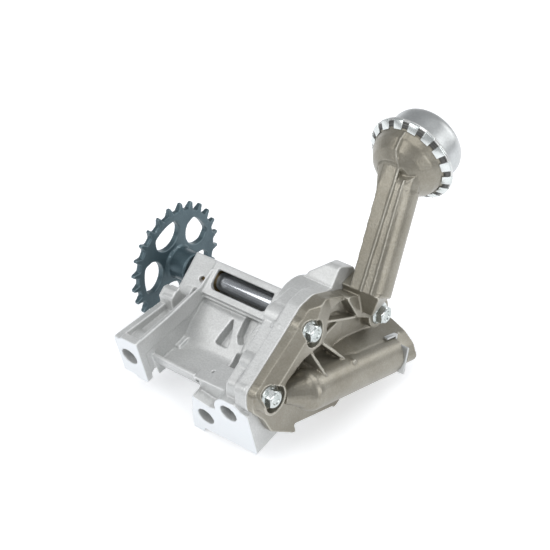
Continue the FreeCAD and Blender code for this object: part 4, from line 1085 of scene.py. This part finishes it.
@dataclass
class SprocketDetails:
    """Tapered teeth of the chain wheel.

    Attributes:
        centre: Middle of the wheel, in millimetres.
        root: Radius at the feet of the teeth.
        reach: Radius that the taper runs to.
        half: Half the wheel's thickness.
        tip: Half the thickness of the teeth at that radius.
    """

    centre: Point = (-27.0, 75.0, 3.5)
    root: float = 34.6
    reach: float = 41.0
    half: float = 2.1
    tip: float = 0.95

    def cuts(self) -> list[Object]:
        """Make the two rings that taper the teeth.

        Returns:
            The rings.
        """
        root, reach, half = self.root, self.reach, self.half
        profile = [(root, half), (reach, self.tip), (reach, 4.0), (root, 4.0), (root, half)]
        return [self._ring("taper_ring", [(radius, side * x) for radius, x in profile]) for side in (1, -1)]

    def lumps(self) -> list[Object]:
        """Make the ring that fills the feet of the teeth.

        Returns:
            The ring.
        """
        edge = [(31.0, 2.05), (33.8, 2.05), (self.root, 1.2)]
        other = [(radius, -x) for radius, x in edge]
        return [self._ring("root_ring", [*other, *reversed(edge), other[0]])]

    def _ring(self, name: str, profile: list[Flat]) -> Object:
        """Turn a ring about the shaft at the wheel, from its radii and offsets along the shaft."""
        place = Matrix.Translation(Vector(self.centre) * MM) @ Matrix.Rotation(math.pi / 2, 4, "Y")
        return Bench.settle(Bench.turned(name, profile, 120), place)


@dataclass
class CoverBolts:
    """Flanged hexagon bolts of the cover, all of one pattern.

    Attributes:
        half_flats: Half the distance across the flats, in millimetres.
        head_height: Height of the head above its seat.
        flange_radius: Radius of the flange.
        flange_edge: Thickness of the flange at its edge.
        shank_radius: Radius of the shank.
        dish_radius: Radius of the dish in the head's top.
        dish_depth: Depth of that dish.
        turn: Angle of the hexagons, in degrees.
        nodes: CAD nodes of the bolts.
    """

    half_flats: float = 5.0
    head_height: float = 6.0
    flange_radius: float = 7.1
    flange_edge: float = 0.8
    shank_radius: float = 2.98
    dish_radius: float = 3.2
    dish_depth: float = 0.7
    turn: float = 17.0
    nodes: tuple[str, ...] = ("cover_bolt_upper", "cover_bolt_lower", "cover_bolt_side")

    def build(self, finish: Material) -> None:
        """Make one bolt and copy it to each place.

        Args:
            finish: Their material.
        """
        turn = Matrix.Rotation(math.radians(self.turn), 4, "Z")
        for node in self.nodes:
            low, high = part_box(node)
            pattern = self._pattern((high[0] - low[0]) / MM)
            middle = (Vector(low) + Vector(high)) / 2
            place = Matrix.Translation((high[0], middle.y, middle.z)) @ Matrix.Rotation(math.pi / 2, 4, "Y")
            piece = Bench.duplicate(pattern, node + "_zinc", place @ turn)
            bpy.data.objects.remove(pattern, do_unlink=True)
            Stand(node, node + "_zinc", "housing", "zinc_steel").present(piece, finish)

    def _pattern(self, length: float) -> Object:
        """Model a bolt with its top at the origin and its shank towards -Z.

        Args:
            length: Length over all in millimetres.

        Returns:
            The bolt.
        """
        seat = -self.head_height
        corner = self.half_flats / math.cos(math.pi / 6)
        bpy.ops.object.select_all(action="DESELECT")
        bpy.ops.mesh.primitive_cylinder_add(
            vertices=6, radius=corner * MM, depth=(self.head_height - 0.3) * MM,
            location=(0, 0, (seat + 0.3) / 2 * MM),
        )
        head = Bench.settle(Bench.named("bolt_pattern"))
        chamfer = Bench.turned(
            "chamfer",
            [(0, 0), (self.half_flats - 0.5, 0), (corner + 0.2, -1.1), (corner + 0.2, seat), (0, seat)],
            48,
        )
        Bench.combine(head, chamfer, "INTERSECT")
        Bench.open_faces(head, lambda face: face.normal.z > 0.9 and face.center.z > -0.2 * MM)
        bpy.ops.mesh.inset(thickness=(self.half_flats - 0.5 - self.dish_radius) * MM)
        bpy.ops.mesh.inset(thickness=0.7 * MM)
        bpy.ops.transform.translate(value=(0, 0, -self.dish_depth * MM))
        Bench.close()
        flange = Bench.turned(
            "flange",
            [(0, seat), (self.flange_radius, seat), (self.flange_radius, seat + self.flange_edge),
             (corner - 0.6, seat + 1.7), (0, seat + 1.7)],
            64,
        )
        Bench.combine(head, flange, "UNION")
        shank = Bench.turned(
            "shank",
            [(0, seat + 0.4), (self.shank_radius, seat + 0.4), (self.shank_radius, 0.6 - length),
             (self.shank_radius - 0.6, -length), (0, -length)],
            32,
        )
        Bench.combine(head, shank, "UNION")
        Bench.bevel(head, 0.16)
        Bench.smooth(head)
        return head


@dataclass
class StrainerCup:
    """Pressed steel cup of the strainer, with its ring of crimped tabs.

    Attributes:
        rim_radius: Outer radius of the crimped rim, in millimetres.
        depth: Height of the cup above its rim.
        crown: How far the bottom bulges further.
        wall: Thickness of the sheet.
        tabs: Number of tabs.
        tab_degrees: Angle that a tab covers.
        first_degrees: Angle of the first tab.
        tab_inner: Radius that the folded tabs reach.
        inlet: Length and width of the oil inlet.
    """

    rim_radius: float = 28.3
    depth: float = 19.5
    crown: float = 3.7
    wall: float = 1.0
    tabs: int = 16
    tab_degrees: float = 13.2
    first_degrees: float = 10.2
    tab_inner: float = 23.7
    inlet: tuple[float, float] = (26.0, 16.0)

    def build(self, finish: Material, bright: Material) -> None:
        """Make the cup and the ring of its tabs.

        Args:
            finish: Material of the cup.
            bright: Material of the bent tabs.
        """
        low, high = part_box("strainer_cap")
        centre = (Vector(low) + Vector(high)) / 2
        seat = Vector((centre.x, high[1] - self.depth * MM, centre.z))
        place = Matrix.Translation(seat) @ Matrix.Rotation(-math.pi / 2, 4, "X")
        tab = self._tab()
        ring = []
        for index in range(self.tabs):
            turn = -math.radians(self.first_degrees + index * 360 / self.tabs)
            ring.append(Bench.duplicate(tab, "tab", Matrix.Rotation(turn, 4, "Z")))
        bpy.data.objects.remove(tab, do_unlink=True)
        cup = self._cup()
        crimp = Bench.join(ring)
        for piece, name, material in ((cup, "strainer_cup", finish), (crimp, "crimp_ring", bright)):
            Bench.open_all(Bench.settle(piece, place))
            bpy.ops.mesh.normals_make_consistent(inside=False)
            Bench.close()
            Bench.smooth(piece, 40)
            Stand("strainer_cap", name, "housing", "pressed_steel").present(piece, material)

    def _cup(self) -> Object:
        """Turn the cup with its folded rim, and cut the inlet.

        Returns:
            The cup, with its rim's seat at the origin and its bottom towards +Z.
        """
        wall, rim, top = self.wall, self.rim_radius, self.depth + self.crown
        outside = [
            (rim - 0.2, -0.9), (rim, -0.6), (rim, 0.8), (rim - 0.4, 1.2), (25.6, 1.2), (24.9, 1.5),
            (24.6, 2.4), (24.4, 4.0), (24.2, 8.0), (23.9, 12.0),
        ]
        inside = [(22.9, 12.0), (23.2, 8.0), (23.4, 4.0), (23.6, 0.3), (rim - wall, 0.3), (rim - wall, -0.9)]
        for step in range(10):
            lean = math.radians(90 * step / 9)
            outside.append((15.0 + 8.8 * math.cos(lean), top - 9.4 + 8.8 * math.sin(lean)))
            inside.insert(0, (15.0 + 7.8 * math.cos(lean), top - 9.4 + 7.8 * math.sin(lean)))
        outside += [(10.0, top - 0.25), (5.0, top - 0.05), (0, top)]
        inside = [(0, top - wall), (10.0, top - 0.25 - wall), *inside]
        piece = Bench.turned("cup_pattern", [*outside, *inside, outside[0]], 96)
        length, width = self.inlet
        bpy.ops.object.select_all(action="DESELECT")
        bpy.ops.mesh.primitive_cube_add(size=1, location=(0, 0, top * MM))
        cutter = Bench.named("inlet_cutter")
        cutter.scale = (length * MM, width * MM, 8 * MM)
        Bench.settle(cutter)
        Bench.bevel(cutter, 4, segments=6)
        Bench.combine(piece, cutter, "DIFFERENCE")
        return piece

    def _tab(self) -> Object:
        """Shape one tab that is bent round the rim and down on the flange.

        Returns:
            The tab, on +X of the cup's axis.
        """
        rim, inner = self.rim_radius + 0.1, self.tab_inner
        half = self.rim_radius * math.radians(self.tab_degrees) / 2
        profile = (
            (rim, 0.3, 1.0), (rim - 0.9, 0.3, 1.0), (rim, -0.9, 1.0), (rim - 0.5, -1.5, 1.0),
            (inner, -4.3, 0.86), (inner, -3.5, 0.86),
        )
        corners = [(radius, side * half * wide, z) for radius, z, wide in profile for side in (1, -1)]
        tab = Bench.hull("tab_pattern", corners)
        Bench.bevel(tab, 0.3)
        return tab


@dataclass
class GauzeScreen:
    """Woven wire screen across the strainer.

    Attributes:
        radius: Radius of the screen in millimetres.
        cells: Cells along each side.
        wire: Thickness of a wire.
    """

    radius: float = 23.6
    cells: int = 32
    wire: float = 0.45

    def build(self, finish: Material) -> None:
        """Make the screen from a grid, cut round and turned into wires.

        Args:
            finish: Its material.
        """
        low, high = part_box("strainer_gauze")
        centre = (Vector(low) + Vector(high)) / 2
        bpy.ops.object.select_all(action="DESELECT")
        size = 2 * self.radius * MM
        bpy.ops.mesh.primitive_grid_add(x_subdivisions=self.cells, y_subdivisions=self.cells, size=size)
        screen = Bench.named("strainer_screen")
        limit = (self.radius - 0.4) * MM
        Bench.open_faces(screen, lambda face: face.center.length > limit)
        bpy.ops.mesh.delete(type="FACE")
        Bench.close()
        thick = self.wire * MM
        Bench.finish_with(screen, "WIREFRAME", thickness=thick, use_boundary=True, use_even_offset=True)
        Bench.settle(screen, Matrix.Translation(centre) @ Matrix.Rotation(math.pi / 2, 4, "X"))
        Bench.smooth(screen)
        Stand("strainer_gauze", "strainer_screen", "housing", "pressed_steel").present(screen, finish)


@dataclass
class EdgedSteel(Stand):
    """Steel piece whose solid is right, with its edges broken as a tool leaves them.

    Attributes:
        edge: Width of the broken edges in millimetres.
    """

    edge: float

    def build(self, nodes: dict[str, Object], finish: Material) -> None:
        """Make the piece.

        Args:
            nodes: CAD nodes by name.
            finish: Its material.
        """
        piece = Bench.copy_of(nodes[self.node], self.name)
        Bench.open_all(piece)
        bpy.ops.mesh.dissolve_limited(angle_limit=math.radians(0.5))
        Bench.close()
        Bench.bevel(piece, self.edge, degrees=40)
        Bench.smooth(piece)
        self.present(piece, finish)


def main() -> None:
    """Load the frame, dress it and set the stage."""
    logging.basicConfig(level=logging.INFO, format="%(message)s")
    bpy.context.scene.view_settings.view_transform = "Standard"
    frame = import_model()
    finishes = Finishes()
    nodes = frame["nodes"]
    slots = {part["node"]: part["material_slot"] for part in frame["record"]["subparts"]}
    by_slot = finishes.by_slot()
    for node, obj in nodes.items():
        dress(obj, by_slot[slots[node]])
    Studio().build()
    housing = Casting("pump_housing", "housing_casting", "housing", "cast_housing")
    cover = Casting("pickup_cover", "cover_casting", "housing", "cast_cover")
    wheel = Casting("drive_sprocket", "sprocket_wheel", "drive", "sprocket_steel", 0.0004, 1, budget=120000)
    for casting, details, finish in (
        (housing, HousingDetails(), finishes.housing),
        (cover, CoverDetails(), finishes.cover),
        (wheel, SprocketDetails(), finishes.sprocket),
    ):
        casting.cuts = details.cuts()
        casting.lumps = details.lumps()
        casting.build(nodes, finish)
    CoverBolts().build(finishes.zinc)
    StrainerCup().build(finishes.pressed, finishes.zinc)
    GauzeScreen().build(finishes.pressed)
    EdgedSteel("drive_shaft", "shaft_ground", "drive", "ground_steel", 0.3).build(nodes, finishes.ground)
    EdgedSteel("retaining_plate", "retaining_clip", "housing", "zinc_steel", 0.25).build(nodes, finishes.clip)


if __name__ == "__main__":
    main()
